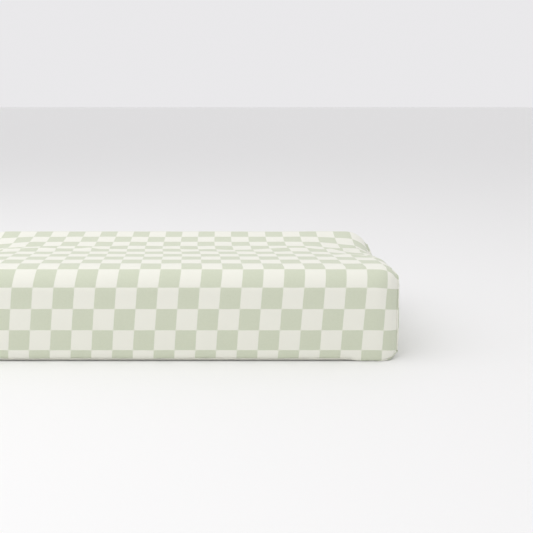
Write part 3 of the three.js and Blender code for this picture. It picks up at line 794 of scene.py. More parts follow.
def build_cover():
    """The main panel, the two end panels and the seams that join them."""
    cover = settings().cover
    body = cover_contour()
    y, z, ny, nz, run = section(body, COVER_AROUND)
    along, turn = columns(COVER_MIDDLE, COVER_ROUNDED)
    points, normals, cloth_x = place_on(body, y, z, ny, nz, along, turn)
    total = run[-1]
    points = points + normals * cover_relief(points, run[None, :], cloth_x, total)[..., None]
    corner = smooth_step((np.abs(points[..., 0]) - CORNER_START) / (10 * MM))
    to_rim = np.minimum(run, total - run)[None, :]
    points[..., 2] -= CORNER_DROP * corner * smooth_step(1 - to_rim / (14 * MM))
    front_face = (y < 0) & (z < 0.14)
    datum = np.interp(DATUM_HEIGHT, z[front_face], run[front_face])
    place = print_place(cloth_x, run[None, :] - datum)
    main = new_piece(
        "cover_main", points, grid_faces(*points.shape[:2]), "cover_cloth", finish("print"),
        uv=place, replaces=["cover_main_panel"],
    )
    add_thickness(main, cover.cloth)
    for side, name in ((-1, "left"), (1, "right")):
        last = 0 if side < 0 else -1
        around = slice(COVER_ROUNDED, None, -1) if side < 0 else slice(-COVER_ROUNDED - 1, None)
        rims = points[around, 0], points[around, -1]
        build_cover_end(body, points[last], rims, y, ny, nz, side, name)
        build_seam(points[last], normals[last], place[last], name)


def corner_turning(rim, ground, side):
    """The end panel's lower corner, which turns under the main panel: straight lines from the main panel's
    rim down to a curve on the ground, bowed out by a sine hump."""
    foot_bow, wall_bow = 4.5 * MM, 1.5 * MM
    share = np.linspace(0, 1, len(rim))[:, None]
    foot = rim[0] + (ground - rim[0]) * share
    out = np.array([side * 0.7, np.sign(rim[0, 1]) * 0.7, 0])
    foot = foot + out * foot_bow * np.sin(math.pi * share)
    foot[:, 2] = rim[0, 2] + (ground[2] - rim[0, 2]) * share[:, 0]
    down = np.linspace(0, 1, 7)[:, None, None]
    points = rim[None] + (foot - rim)[None] * down
    points = points + out * wall_bow * np.sin(math.pi * down) * np.sin(math.pi * share)[None]
    return points, turned(grid_faces(*points.shape[:2]), side * rim[0, 1] < 0)


def build_cover_end(body, edge, rims, y, ny, nz, side, name):
    """An end panel: the wall inside the seam, closed along its foot, and its two lower corners."""
    cover = settings().cover
    reach = end_reach(body, y, ny, nz)
    under = 160
    low_y = np.linspace(edge[-1, 1], edge[0, 1], under + 2)[1:-1]
    rim_bottom = math.acos(1 - body.rim / body.end_radius[3])
    low = np.stack([
        side * (body.half_x - body.end_radius[3] * (1 - math.sin(rim_bottom))) * pulled_in(low_y),
        low_y,
        np.full(under, 1.2 * MM),
    ], -1)
    outline = np.concatenate([edge, low])
    reach = np.concatenate([reach, np.full(under, body.end_radius[3])])
    rim_turn = np.concatenate([np.full(len(edge), SEAM_ANGLE), np.full(under, rim_bottom)])
    wall = end_wall(
        body, outline, reach, side, rim_turn, bulge=0.4 * MM, relief=end_relief, corners=(len(edge), 0)
    )
    corners = [corner_turning(rim, ground, side) for rim, ground in zip(rims, (low[-1], low[0]))]
    points, faces = joined([wall, *corners])
    first_y, u_shift, v_shift = -0.157, 0.2, 0.15
    u = (points[..., 1] - first_y) / cover.check_width + u_shift
    v = (points[..., 2] - DATUM_HEIGHT) / cover.check_height + v_shift
    wall = new_piece(
        f"cover_end_{name}", points, faces, "cover_cloth", finish("print"),
        uv=np.stack([u, v], -1), replaces=[f"cover_end_panel_{name}"], merge=0.01 * MM,
    )
    add_thickness(wall, cover.cloth)


def end_relief(points):
    """Soft unevenness of the end wall."""
    return waves(END_WAVES, points[..., 1], points[..., 2]) - 0.9 * END_WAVES[0]


def build_seam(edge, edge_normal, place, name):
    """The turned seam allowance: a ridge along the panel's edge, its radius rippled by the stitches."""
    length = lengths_along(edge)
    ripple_pitch = 6.5 * MM
    radius = 1.1 * MM + 0.15 * MM * np.sin(2 * math.pi * length / ripple_pitch)
    radius = radius + 0.2 * MM * smooth_noise(length, 0, 0.03, 2)
    profile = round_section(1.0, 10)[None] * radius[:, None, None]
    points, faces = swept(edge + edge_normal * 0.4 * MM, edge_normal, profile)
    new_piece(
        f"cover_seam_{name}", points, faces, "cover_cloth", finish("print"),
        uv=np.broadcast_to(place[:, None], (*points.shape[:2], 2)), outward=True,
    )


# ---- Hem and elastic --------------------------------------------------------


def rounded_loop(half_x, half_y, radius, spacing):
    """A rounded rectangle in the XY plane, as evenly spaced points."""
    quarter = np.linspace(0, math.pi / 2, 24)
    corners = [(1, -1, -math.pi / 2), (1, 1, 0), (-1, 1, math.pi / 2), (-1, -1, math.pi)]
    outline = np.concatenate([
        np.stack([
            sx * (half_x - radius) + radius * np.cos(start + quarter),
            sy * (half_y - radius) + radius * np.sin(start + quarter),
        ], -1)
        for sx, sy, start in corners
    ])
    outline = np.concatenate([outline, outline[:1]])
    run = lengths_along(outline)
    even = np.linspace(0, run[-1], int(run[-1] / spacing) + 1)[:-1]
    return np.stack([np.interp(even, run, outline[:, i]) for i in (0, 1)], -1), even


def hem_lift(loop):
    """1 between the corners, where the hem is lifted a little, and 0 at the corners."""
    return 1 - smooth_step((np.abs(loop[:, 0]) - CORNER_START) / (12 * MM))


def away_from_middle(loop):
    """The level direction in which the hem lies flat: away from a rectangle inside the loop."""
    corner = np.array([0.36, 0.16])
    return np.column_stack([loop - np.clip(loop, -corner, corner), 0 * loop[:, 0]])


HEM_CORNER_RADIUS, HEM_REST, HEM_RISE = 26 * MM, 2.2 * MM, 1.7 * MM


def build_hem():
    """The hem: a flattened tube of cloth round the elastic, gathered, lifted a little between the corners."""
    width, sides, flattening = 17 * MM, 16, 0.6
    centre_x = HEM_HIGH.x - width / 2 + 2 * MM
    centre_y = HEM_HIGH.y - width / 2 + 8.5 * MM
    loop, run = rounded_loop(centre_x, centre_y, HEM_CORNER_RADIUS, 3.0 * MM)
    gather = smooth_noise(run, 0, 0.018, 31)
    lift = hem_lift(loop)
    height = HEM_REST + HEM_RISE * lift + 0.3 * MM * gather * lift
    thick = 1.9 * MM + 0.25 * MM * gather
    turn = np.arange(sides) * 2 * math.pi / sides
    squash = np.sign(np.cos(turn)) * np.abs(np.cos(turn)) ** flattening
    profile = np.stack([
        np.broadcast_to(squash * width / 2, (len(run), sides)),
        np.sin(turn)[None] * thick[:, None],
    ], -1)
    points, faces = swept(np.column_stack([loop, height]), away_from_middle(loop), profile, closed=True)
    new_piece("cover_hem", points, faces, "cover_cloth", finish("hem"), replaces=["hem_casing"], outward=True)


def build_elastic():
    """Braided elastic inside the hem, a flat band."""
    width, thickness = 9 * MM, 1.1 * MM
    loop, _ = rounded_loop(HEM_HIGH.x - 6.5 * MM, HEM_HIGH.y, HEM_CORNER_RADIUS, 6 * MM)
    path = np.column_stack([loop, HEM_REST + HEM_RISE * hem_lift(loop)])
    points, faces = swept(path, away_from_middle(loop), flat_band(width, thickness), closed=True)
    new_piece(
        "hem_elastic_band", points, faces, "elastic", finish("elastic"),
        replaces=["hem_elastic"], outward=True,
    )


# ---- Foam and liner ---------------------------------------------------------


FOAM_EDGE_RADIUS = 34 * MM
INNER_END_RADIUS = (44 * MM, 36 * MM, 55 * MM, 30 * MM)


def hollow_dip(y, x):
    """The foam's hollow: flat in the middle, rising to each crest as half a cosine."""
    inner = settings().inner
    crest, flat = HALF_Y - FOAM_EDGE_RADIUS, 75 * MM
    rise = np.clip((np.abs(y) - flat) / (crest - flat), 0, 1)
    return inner.hollow * (1 + np.cos(math.pi * rise)) / 2 + 0 * x


def closed_body(body, middle, rounded, around, underside):
    """The whole closed body: its sides and top, its underside and both end walls, as one set of points."""
    y, z, ny, nz, _ = section(body, around)
    low_y = np.linspace(y[-1], y[0], underside + 2)[1:-1]
    y = np.concatenate([y, low_y])
    z = np.concatenate([z, np.full(underside, body.floor)])
    ny = np.concatenate([ny, np.zeros(underside)])
    nz = np.concatenate([nz, -np.ones(underside)])
    along, turn = columns(middle, rounded)
    points, _, _ = place_on(body, y, z, ny, nz, along, turn)
    parts = [(points, grid_faces(*points.shape[:2], wrap_columns=True))]
    reach = end_reach(body, y, ny, nz)
    for side in (-1, 1):
        outline = points[0 if side < 0 else -1]
        parts.append(end_wall(body, outline, reach, side, np.full(len(outline), SEAM_ANGLE)))
    return joined(parts)


def inner_contour(low, high, gap, top_radius, bottom_radius):
    """The cover's own shape, that much smaller."""
    cover = settings().cover
    return Contour(
        half_x=high.x - 1.6 * MM, half_y=high.y, floor=low.z, rim=low.z,
        front_top=cover.front_crest - gap, back_top=cover.back_crest - gap,
        top_radius=top_radius, bottom_radius=bottom_radius, end_radius=INNER_END_RADIUS, dip=hollow_dip,
    )


def build_foam():
    """One block of foam, with the hollow cut along its top."""
    side_gap, top_gap = Vector((0.5, 0.5, 0)) * MM, 3.8 * MM
    body = inner_contour(FOAM_LOW, FOAM_HIGH - side_gap, top_gap, 32 * MM, 21 * MM)
    points, faces = closed_body(body, middle=60, rounded=6, around=120, underside=60)
    foam = new_piece(
        "foam_block", points, faces, "foam", finish("foam"),
        replaces=["foam_core"], merge=0.01 * MM, outward=True,
    )


def build_liner():
    """The waterproof liner's upper part: a thin wall over the foam, open underneath."""
    top_gap, end_drop, under = 2.6 * MM, 0.12, 72
    body = inner_contour(LINER_LOW, LINER_HIGH, top_gap, 34 * MM, 22.5 * MM)
    y, z, ny, nz, run = section(body, 150)
    points, normals, cloth_x = place_on(body, y, z, ny, nz, *columns(80, 8))
    uneven = 0.25 * MM * (smooth_noise(cloth_x, run[None, :], 0.05, 41) - 1)
    points = points + normals * uneven[..., None]
    parts = [(points, grid_faces(*points.shape[:2]))]
    reach = end_reach(body, y, ny, nz)
    for side in (-1, 1):
        edge = points[0 if side < 0 else -1]
        low_y = np.linspace(edge[-1, 1], edge[0, 1], under + 2)[1:-1]
        low_x = np.linspace(edge[-1, 0], edge[0, 0], under + 2)[1:-1]
        low = np.stack([low_x, low_y, np.full(under, edge[0, 2])], -1)
        outline = np.concatenate([edge, low])
        wide = np.concatenate([reach, np.full(under, body.end_radius[3])])
        parts.append(end_wall(body, outline, wide, side, np.full(len(outline), SEAM_ANGLE)))
    points, faces = joined(parts)
    liner = new_piece(
        "liner_shell", points, faces, "liner_vinyl", finish("vinyl"),
        replaces=["liner_top_shell"], merge=0.01 * MM,
    )
    add_thickness(liner, 0.8 * MM)


# ---- Underside: base panel, dots, zip and straps ----------------------------


def build_base():
    """The base panel with its zip slot, and the moulded grip dots that stand out of it."""
    zip_y = (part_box("zip_coil_front")[0].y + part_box("zip_coil_rear")[1].y) / 2
    half_zip, half_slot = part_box("zip_tape_front")[1].x, 9 * MM
    x = np.unique(np.concatenate([np.linspace(BASE_LOW.x, BASE_HIGH.x, 120), [-half_zip, half_zip]]))
    y = np.unique(np.concatenate([
        np.linspace(BASE_LOW.y, BASE_HIGH.y, 60), [zip_y - half_slot, zip_y + half_slot]
    ]))
    px, py = np.meshgrid(x, y, indexing="ij")
    radius, tiny = 28 * MM, 1e-9
    over_x = np.maximum(np.abs(px) - (BASE_HIGH.x - radius), 0)
    over_y = np.maximum(np.abs(py) - (BASE_HIGH.y - radius), 0)
    reach = np.hypot(over_x, over_y)
    square = np.maximum(np.maximum(over_x, over_y), tiny)
    shrink = np.where(reach > 0, square / np.maximum(reach, tiny), 1)
    px = np.sign(px) * (np.abs(px) - over_x * (1 - shrink))
    py = np.sign(py) * (np.abs(py) - over_y * (1 - shrink))
    level = BASE_HIGH.z - 0.3 * MM + 0.25 * MM * smooth_noise(px, py, 0.06, 51)
    points = np.stack([px, py, level], -1)
    middle_x = (x[:-1] + x[1:]) / 2
    middle_y = (y[:-1] + y[1:]) / 2
    solid = (np.abs(middle_x)[:, None] > half_zip) | (np.abs(middle_y - zip_y)[None, :] > half_slot)
    faces = [face[::-1] for face, keep in zip(grid_faces(*px.shape), solid.ravel()) if keep]
    base = new_piece(
        "base_panel", points, faces, "liner_vinyl", finish("vinyl"), replaces=["liner_base_panel"]
    )
    add_thickness(base, 0.7 * MM, offset=0.0)
    dots = []
    for dot_x in np.linspace(-0.33, 0.33, 7):
        for dot_y in np.linspace(-0.065, 0.1, 4):
            dots.append(dome((dot_x, dot_y, BASE_HIGH.z - 0.9 * MM), 5 * MM, 1.0 * MM))
    points, faces = joined(dots)
    new_piece("grip_dots", points, faces, "liner_vinyl", finish("dots"), outward=True)


def dome(centre, radius, height, sides=20, rings=4):
    """A low moulded dot, hanging down from its centre: height times the cosine of the ring's angle."""
    lift = np.linspace(0, math.pi / 2, rings + 1)[:-1]
    turn = np.arange(sides) * 2 * math.pi / sides
    r = radius * np.cos(lift)[:, None]
    points = np.stack([
        centre[0] + r * np.cos(turn), centre[1] + r * np.sin(turn),
        centre[2] - height * np.sin(lift)[:, None] + 0 * turn,
    ], -1)
    faces = grid_faces(rings, sides, wrap_columns=True)
    last = (rings - 1) * sides
    faces += [list(range(sides)), list(range(last, last + sides))[::-1]]
    return points, faces


def straight_band(low, high, steps, thickness):
    """A flat band along X through the middle of a box, as wide as the box."""
    middle = [np.full(steps, (low[axis] + high[axis]) / 2) for axis in (1, 2)]
    path = np.stack([np.linspace(low.x, high.x, steps), *middle], -1)
    return swept(path, (0, 1, 0), flat_band(high.y - low.y, thickness))


def solid_piece(name, parts, slot, kind, node, body=PAD_BODY):
    """One piece from several closed parts, standing for one node."""
    points, faces = joined(parts)
    new_piece(
        name, points, faces, slot, finish(kind), body=body, replaces=[node], merge=0.001 * MM, outward=True
    )


def build_zip():
    """Two tapes, two coils, the end stops, and the slider with its pull."""
    inner = settings().inner
    for name in ("front", "rear"):
        low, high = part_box(f"zip_tape_{name}")
        points, faces = straight_band(low, high, 160, high.z - low.z)
        new_piece(
            f"tape_{name}", points, faces, "zip_tape", finish("tape"),
            replaces=[f"zip_tape_{name}"], outward=True,
        )
        build_coil(name, inner.zip_pitch)
    for name in ("closed", "open"):
        low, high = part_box(f"zip_stop_{name}")
        clamp = [rounded_box(low, high, 0.8 * MM)]
        solid_piece(f"stop_{name}", clamp, "nickel", "nickel", f"zip_stop_{name}")
    build_slider()


def build_coil(name, pitch):
    """A nylon coil: a thread wound in flattened turns, one turn each pitch, its circle stretched to fill the
    width and height of the coil."""
    low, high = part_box(f"zip_coil_{name}")
    thread, steps_per_turn = 0.42 * MM, 8
    turns = int((high.x - low.x - 2 * thread) / pitch)
    angle = np.arange(turns * steps_per_turn + 1) * 2 * math.pi / steps_per_turn
    x = low.x + thread + pitch * angle / (2 * math.pi)
    y = (low.y + high.y) / 2 + ((high.y - low.y) / 2 - thread) * np.cos(angle)
    z = (low.z + high.z) / 2 + ((high.z - low.z) / 2 - thread) * np.sin(angle)
    points, faces = swept(np.stack([x, y, z], -1), (1, 0, 0), round_section(thread, 6))
    new_piece(
        f"coil_{name}", points, faces, "zip_nylon", finish("coil"),
        replaces=[f"zip_coil_{name}"], outward=True,
    )


def build_slider():
    """The slider: two plates, the post between them at its front, a side wall along each edge of the lower
    plate, and the bridge that holds the pull. The pull: a tab with a window that hangs on the bridge."""
    low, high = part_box("zip_slider")
    middle_x, middle_y = (low.x + high.x) / 2, (low.y + high.y) / 2
    plate, crown, wall, inset, half_post = 1 * MM, 1.6 * MM, 1.2 * MM, 0.5 * MM, 0.5 * MM
    floor = low.z + crown
    wall_top = floor + 3 * MM
    parts = [rounded_box(*box, radius) for box, radius in (
        (((low.x, low.y, floor - 0.1 * MM), (high.x, high.y, floor + plate)), 0.5 * MM),
        (((low.x, low.y, high.z - plate), (high.x, high.y, high.z)), 0.5 * MM),
        (((high.x - 2.5 * MM, middle_y - half_post, floor),
          (high.x, middle_y + half_post, high.z - 0.2 * MM)), 0.3 * MM),
        (((low.x + inset, low.y, floor), (high.x - inset, low.y + wall, wall_top)), 0.4 * MM),
        (((low.x + inset, high.y - wall, floor), (high.x - inset, high.y, wall_top)), 0.4 * MM),
    )]
    arch = np.linspace(0, math.pi, 15)
    half_span, rise = 3.1 * MM, 1.45 * MM
    bridge = np.stack([
        middle_x - half_span * np.cos(arch), np.full(15, middle_y),
        floor + 0.2 * MM - rise * np.sin(arch) ** 0.5,
    ], -1)
    parts.append(swept(bridge, (0, 1, 0), flat_band(1.5 * MM, 0.55 * MM, 2, 1)))
    solid_piece("slider", parts, "nickel", "nickel", "zip_slider", body="zip_slider")
    low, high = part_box("zip_pull")
    window, arm, half_pin, edge_radius = 4.7 * MM, 1.6 * MM, 0.35 * MM, 0.34 * MM
    arm_start, arm_end = middle_x - window - 1 * MM, middle_x + 0.4 * MM
    parts = [rounded_box((x0, y0, low.z), (x1, y1, high.z), edge_radius) for x0, x1, y0, y1 in (
        (low.x, middle_x - window, low.y, high.y),
        (arm_start, arm_end, low.y, low.y + arm),
        (arm_start, arm_end, high.y - arm, high.y),
        (middle_x - half_pin, middle_x + half_pin, low.y + 0.5 * MM, high.y - 0.5 * MM),
    )]
    solid_piece("pull_tab", parts, "nickel", "nickel", "zip_pull", body="zip_pull")


def stitches(path, normal, pitch=3.2 * MM, length=2.3 * MM, thick=0.35 * MM):
    """Thread stitches along a path: short spindles with six sides and narrow tips, one each pitch."""
    path = np.asarray(path, float)
    run = lengths_along(path)
    parts = []
    sides = round_section(1.0, 6)
    for start in np.arange(pitch / 2, run[-1] - length, pitch):
        at = start + np.array([0, 0.2, 0.8, 1.0]) * length
        line = np.stack([np.interp(at, run, path[:, axis]) for axis in range(3)], -1)
        radius = np.array([0.3, 1.0, 1.0, 0.3]) * thick
        parts.append(swept(line, normal, sides[None] * radius[:, None, None]))
    return parts


def box_stitching(low, high, level, margin=3 * MM):
    """A square of stitches with a cross in it."""
    x0, x1, y0, y1 = low[0] + margin, high[0] - margin, low[1] + margin, high[1] - margin
    square = [(x0, y0), (x1, y0), (x1, y1), (x0, y1), (x0, y0)]
    lines = [square[i : i + 2] for i in range(4)] + [[square[0], square[2]], [square[1], square[3]]]
    parts = []
    for line in lines:
        parts += stitches([(x, y, level) for x, y in line], (0, 0, 1))
    return parts


def build_under_straps():
    """The straps that tie the pad to the furniture, with their eyelets and stitching, and the blank label."""
    for name in ("left", "right"):
        low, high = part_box(f"anchor_strap_{name}")
        low_eye, high_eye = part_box(f"anchor_eyelet_{name}")
        middle = ((low.x + high.x) / 2, (low_eye.y + high_eye.y) / 2)
        points, faces = strap_with_hole(low, high, middle, hole=3.9 * MM)
        strap = new_piece(
            f"under_strap_{name}", points, faces, "webbing", finish("webbing"),
            replaces=[f"anchor_strap_{name}"], merge=0.001 * MM,
        )
        add_thickness(strap, high.z - low.z, offset=0.0)
        parts = box_stitching((low.x, high.y - 26 * MM), (high.x, high.y), low.z)
        points, faces = joined(parts)
        new_piece(f"under_strap_stitches_{name}", points, faces, "webbing", finish("thread"), outward=True)
        eyelet = lathe_ring(middle, low_eye.z, high_eye.z)
        new_piece(
            f"eyelet_{name}", *eyelet, "nickel", finish("nickel"),
            replaces=[f"anchor_eyelet_{name}"], outward=True,
        )
    low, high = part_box("care_label")
    points, faces = straight_band(low, high, 30, 0.25 * MM)
    new_piece(
        "blank_label", points, faces, "label_satin", finish("satin"), replaces=["care_label"], outward=True
    )


def strap_with_hole(low, high, middle, hole):
    """A flat strap as rings that run from a round hole out to the strap's outline."""
    sides, tiny = 48, 1e-6
    turn = np.arange(sides) * 2 * math.pi / sides + math.pi / 4
    c, s = np.cos(turn), np.sin(turn)
    reach = np.minimum(
        np.where(c > 0, high.x - middle[0], middle[0] - low.x) / np.maximum(np.abs(c), tiny),
        np.where(s > 0, high.y - middle[1], middle[1] - low.y) / np.maximum(np.abs(s), tiny),
    )
    r = hole + (reach - hole) * np.linspace(0, 1, 7)[:, None] ** 1.5
    level = (low.z + high.z) / 2
    points = np.stack([middle[0] + r * c, middle[1] + r * s, np.full(r.shape, level)], -1)
    return points, grid_faces(*r.shape, wrap_columns=True)


def lathe_ring(middle, z0, z1, inner=3 * MM, outer=6 * MM, metal=0.5 * MM, sides=32):
    """An eyelet: a barrel with a rolled flange at each end, turned about an upright axis."""
    roll = np.linspace(-math.pi / 2, math.pi / 2, 5)
    half, bevel = metal / 2, 0.3 * MM
    lower, upper = (
        np.stack([outer - half + half * np.cos(roll), level + half * np.sin(roll)], -1)
        for level in (z0 + half, z1 - half)
    )
    profile = np.concatenate([
        [[inner + bevel, z0]], lower, [[inner + metal, z0 + metal], [inner + metal, z1 - metal]],
        upper, [[inner + bevel, z1], [inner, z1 - bevel], [inner, z0 + bevel]],
    ])
    turn = np.arange(sides) * 2 * math.pi / sides
    r, z = profile[:, 0], profile[:, 1]
    points = np.stack([
        middle[0] + r[None] * np.cos(turn)[:, None], middle[1] + r[None] * np.sin(turn)[:, None],
        np.broadcast_to(z, (sides, len(z))),
    ], -1)
    return points, grid_faces(sides, len(z), wrap_rows=True, wrap_columns=True)


# ---- Safety belt ------------------------------------------------------------


def build_belt():
    """Webbing, its stitched patches and the two halves of the buckle, stowed in the hollow."""
    inner = settings().inner
    for name, side in (("front", -1), ("rear", 1)):
        low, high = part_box(f"belt_anchor_{name}")
        patch = [rounded_box(low, high, 0.45 * MM)]
        solid_piece(f"belt_patch_{name}", patch, "webbing", "webbing", f"belt_anchor_{name}")
        strap_low, strap_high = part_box(f"belt_strap_{name}")
        far, near = (strap_low.y, strap_high.y) if side < 0 else (strap_high.y, strap_low.y)
        rest = abs(low.y if side > 0 else high.y)
        buckle = abs(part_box("buckle_socket")[0].y) if side < 0 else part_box("buckle_plug")[1].y
        distance = np.linspace(abs(far), abs(near), 60)
        rise = smooth_step((rest - distance) / (rest - buckle))
        base, top = strap_low.z + inner.webbing / 2, strap_high.z - inner.webbing / 2
        path = np.stack([0 * distance, side * distance, base + (top - base) * rise], -1)
        points, faces = swept(path, (1, 0, 0), flat_band(strap_high.x - strap_low.x, inner.webbing))
        strap = new_piece(
            f"belt_web_{name}", points, faces, "webbing", finish("webbing"),
            body=PAD_BODY if side < 0 else None, replaces=[f"belt_strap_{name}"], outward=True,
        )
        if side > 0:
            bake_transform(strap)
        parts = box_stitching((strap_low.x, low.y), (strap_high.x, high.y), strap_low.z + inner.webbing)
        points, faces = joined(parts)
        new_piece(f"belt_stitches_{name}", points, faces, "webbing", finish("thread"), outward=True)
    build_buckle()


def build_buckle():
    """The buckle's two halves, as rounded boxes. The socket: two faces, a cross wall and two side walls. The
    plug: its body, a frame round the strap's slot, a guide, and two prongs with finger pads."""
    low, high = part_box("buckle_socket")
    half, mouth = high.x, high.y
    wall, rail, lip = 2 * MM, 3.3 * MM, 0.5 * MM
    parts = [rounded_box((x0, low.y + y0, z0), (x1, y1, z1), 0.9 * MM) for x0, x1, y0, y1, z0, z1 in (
        (low.x, high.x, 0, high.y, low.z, low.z + wall),
        (low.x, high.x, 0, high.y, high.z - wall, high.z),
        (low.x, high.x, 5 * MM, low.y + 7.2 * MM, low.z + lip, high.z - lip),
        (low.x, low.x + rail, 0, low.y + 7 * MM, low.z + lip, high.z - lip),
        (high.x - rail, high.x, 0, low.y + 7 * MM, low.z + lip, high.z - lip),
    )]
    solid_piece("socket", parts, "buckle_plastic", "acetal", "buckle_socket")
    low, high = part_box("buckle_plug")
    thin_low, thin_high = low.z + 1.8 * MM, high.z - 1.8 * MM
    middle, half_slot = (low.z + high.z) / 2, 1.5 * MM
    frame_y, prong, guide = high.y - 6 * MM, 5 * MM, 3 * MM
    parts = [rounded_box((x0, y0, z0), (x1, y1, z1), radius) for x0, x1, y0, y1, z0, z1, radius in (
        (-half, half, mouth + 0.3 * MM, high.y - 5 * MM, low.z, high.z, 1.2 * MM),
        (-half, -half + rail, frame_y, high.y, low.z, high.z, 1.2 * MM),
        (half - rail, half, frame_y, high.y, low.z, high.z, 1.2 * MM),
        (-half + 1 * MM, half - 1 * MM, frame_y, high.y, low.z, middle - half_slot, 1.0 * MM),
        (-half + 1 * MM, half - 1 * MM, frame_y, high.y, middle + half_slot, high.z, 1.0 * MM),
        (-guide, guide, low.y + 6 * MM, mouth + 1 * MM, thin_low, thin_high, 0.9 * MM),
    )]
    for side in (-1, 1):
        bar = sorted((side * half, side * (half - prong)))
        pad = sorted((side * high.x, side * (half - prong)))
        parts.append(rounded_box((bar[0], low.y, thin_low), (bar[1], mouth + 1 * MM, thin_high), 1.2 * MM))
        pad_low, pad_high = low.y + 5 * MM, low.y + 16 * MM
        parts.append(rounded_box((pad[0], pad_low, thin_low), (pad[1], pad_high, thin_high), 1.5 * MM))
    solid_piece("plug", parts, "buckle_plastic", "acetal", "buckle_plug", body="buckle_plug")


# ---- Stage ------------------------------------------------------------------


def build_stage():
    """A pale floor, soft light from above and the left, and the camera."""
    size = 60.0
    corners = [(-size, -size, 0), (size, -size, 0), (size, size, 0), (-size, size, 0)]
    mesh = bpy.data.meshes.new("floor")
    mesh.from_pydata(corners, [], [[0, 1, 2, 3]])
    floor = bpy.data.objects.new("floor", mesh)
    bpy.context.collection.objects.link(floor)
    material, _, principled = new_material("pale_floor", Roughness=0.6, Specular_IOR_Level=0.3)
    principled.inputs["Base Color"].default_value = linear("#F1F1F0")
    mesh.materials.append(material)
    world = bpy.data.worlds.new("soft_room")
    world.use_nodes = True
    background = world.node_tree.nodes["Background"]
    background.inputs["Color"].default_value = linear("#FBFAFC")
    background.inputs["Strength"].default_value = 0.85
    bpy.context.scene.world = world
    add_light("ceiling_light", (-0.9, -0.7, 2.2), size=3.0, power=22)
    add_light("window_light", (-2.8, -0.4, 1.4), size=2.4, power=6)
    add_camera()


def add_light(name, place, size, power):
    """A round area light, size metres across and power watts, aimed at the middle of the pad."""
    target = Vector((0, 0, 0.05))
    light = bpy.data.lights.new(name, "AREA")
    light.shape = "DISK"
    light.size = size
    light.energy = power
    lamp = bpy.data.objects.new(name, light)
    lamp.location = place
    lamp.rotation_mode = "QUATERNION"
    lamp.rotation_quaternion = (target - Vector(place)).to_track_quat("-Z", "Y")
    bpy.context.collection.objects.link(lamp)


CAMERA_PLACE = (0.18696, -1.4848, 0.42065)
CAMERA_LENS = 54.67
CAMERA_SHIFT = -0.17
CAMERA_PITCH = math.radians(5.235)


def add_camera():
    """The camera looks down a little. Its shift does the rest, so upright edges stay nearly upright."""
    data = bpy.data.cameras.new("camera")
    data.sensor_width = 36
    data.lens = CAMERA_LENS
    data.shift_y = CAMERA_SHIFT
    camera = bpy.data.objects.new("camera", data)
    camera.location = CAMERA_PLACE
    camera.rotation_euler = (math.pi / 2 - CAMERA_PITCH, 0, 0)
    bpy.context.collection.objects.link(camera)
    bpy.context.scene.camera = camera
    bpy.context.scene.view_settings.view_transform = "Standard"


# ---- Operators, panel and registration --------------------------------------


class CHANGINGPAD_OT_cover(bpy.types.Operator):
    """Builds the cover's main panel, end panels and seams."""

    bl_idname = "changing_pad.cover"
    bl_label = "Fitted cover"

    def execute(self, context):
        build_cover()
        return {"FINISHED"}


class CHANGINGPAD_OT_hem(bpy.types.Operator):
    """Builds the gathered hem and its elastic."""

    bl_idname = "changing_pad.hem"
    bl_label = "Hem"

    def execute(self, context):
        build_hem()
        build_elastic()
        return {"FINISHED"}


class CHANGINGPAD_OT_foam(bpy.types.Operator):
    """Builds the contoured foam."""

    bl_idname = "changing_pad.foam"
    bl_label = "Foam block"

    def execute(self, context):
        build_foam()
        return {"FINISHED"}


class CHANGINGPAD_OT_liner(bpy.types.Operator):
    """Builds the liner over the foam."""

    bl_idname = "changing_pad.liner"
    bl_label = "Waterproof liner"

    def execute(self, context):
        build_liner()
        return {"FINISHED"}


class CHANGINGPAD_OT_base(bpy.types.Operator):
    """Builds the base panel and its grip dots."""

    bl_idname = "changing_pad.base"
    bl_label = "Base panel"

    def execute(self, context):
        build_base()
        return {"FINISHED"}


class CHANGINGPAD_OT_zip(bpy.types.Operator):
    """Builds the zip's tapes, coils, stops, slider and pull."""

    bl_idname = "changing_pad.zip"
    bl_label = "Zip"

    def execute(self, context):
        build_zip()
        return {"FINISHED"}


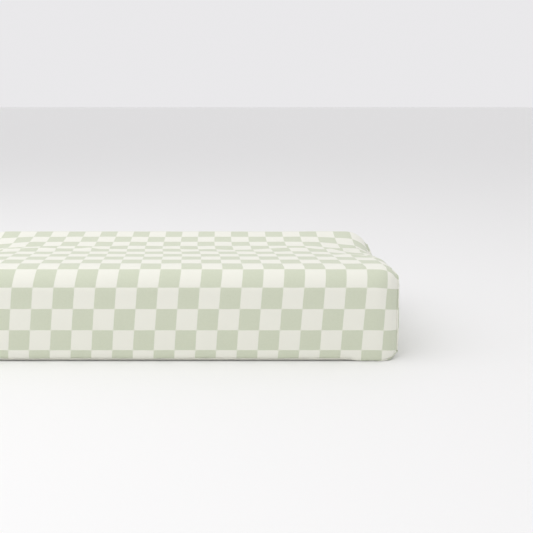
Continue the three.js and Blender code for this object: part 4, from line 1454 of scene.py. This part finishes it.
class CHANGINGPAD_OT_straps(bpy.types.Operator):
    """Builds the straps, eyelets and label under the pad."""

    bl_idname = "changing_pad.straps"
    bl_label = "Under straps"

    def execute(self, context):
        build_under_straps()
        return {"FINISHED"}


class CHANGINGPAD_OT_belt(bpy.types.Operator):
    """Builds the belt and its buckle."""

    bl_idname = "changing_pad.belt"
    bl_label = "Safety belt"

    def execute(self, context):
        build_belt()
        return {"FINISHED"}


class CHANGINGPAD_OT_stage(bpy.types.Operator):
    """Builds the floor, the lights and the camera."""

    bl_idname = "changing_pad.stage"
    bl_label = "Stage"

    def execute(self, context):
        build_stage()
        return {"FINISHED"}


STEPS = (
    CHANGINGPAD_OT_cover,
    CHANGINGPAD_OT_hem,
    CHANGINGPAD_OT_foam,
    CHANGINGPAD_OT_liner,
    CHANGINGPAD_OT_base,
    CHANGINGPAD_OT_zip,
    CHANGINGPAD_OT_straps,
    CHANGINGPAD_OT_belt,
    CHANGINGPAD_OT_stage,
)


class CHANGINGPAD_PT_panel(bpy.types.Panel):
    """Lists the settings and the building steps."""

    bl_idname = "CHANGINGPAD_PT_panel"
    bl_label = "Changing Pad"
    bl_space_type = "VIEW_3D"
    bl_region_type = "UI"
    bl_category = "Changing Pad"

    def draw(self, context):
        layout = self.layout
        pad = context.scene.changing_pad
        for group in (pad.cover, pad.inner):
            box = layout.box()
            for name in group.bl_rna.properties.keys():
                if name not in ("rna_type", "name"):
                    box.prop(group, name)
        for operator in STEPS:
            layout.operator(operator.bl_idname)


CLASSES = (CoverSettings, InnerSettings, PadSettings, *STEPS, CHANGINGPAD_PT_panel)


def register():
    for kind in CLASSES:
        bpy.utils.register_class(kind)
    bpy.types.Scene.changing_pad = PointerProperty(type=PadSettings)


def unregister():
    del bpy.types.Scene.changing_pad
    for kind in reversed(CLASSES):
        bpy.utils.unregister_class(kind)


def main():
    """Builds every piece in turn, then the stage."""
    register()
    for operator in STEPS:
        group, name = operator.bl_idname.split(".")
        getattr(getattr(bpy.ops, group), name)()
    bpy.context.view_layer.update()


if __name__ == "__main__":
    main()
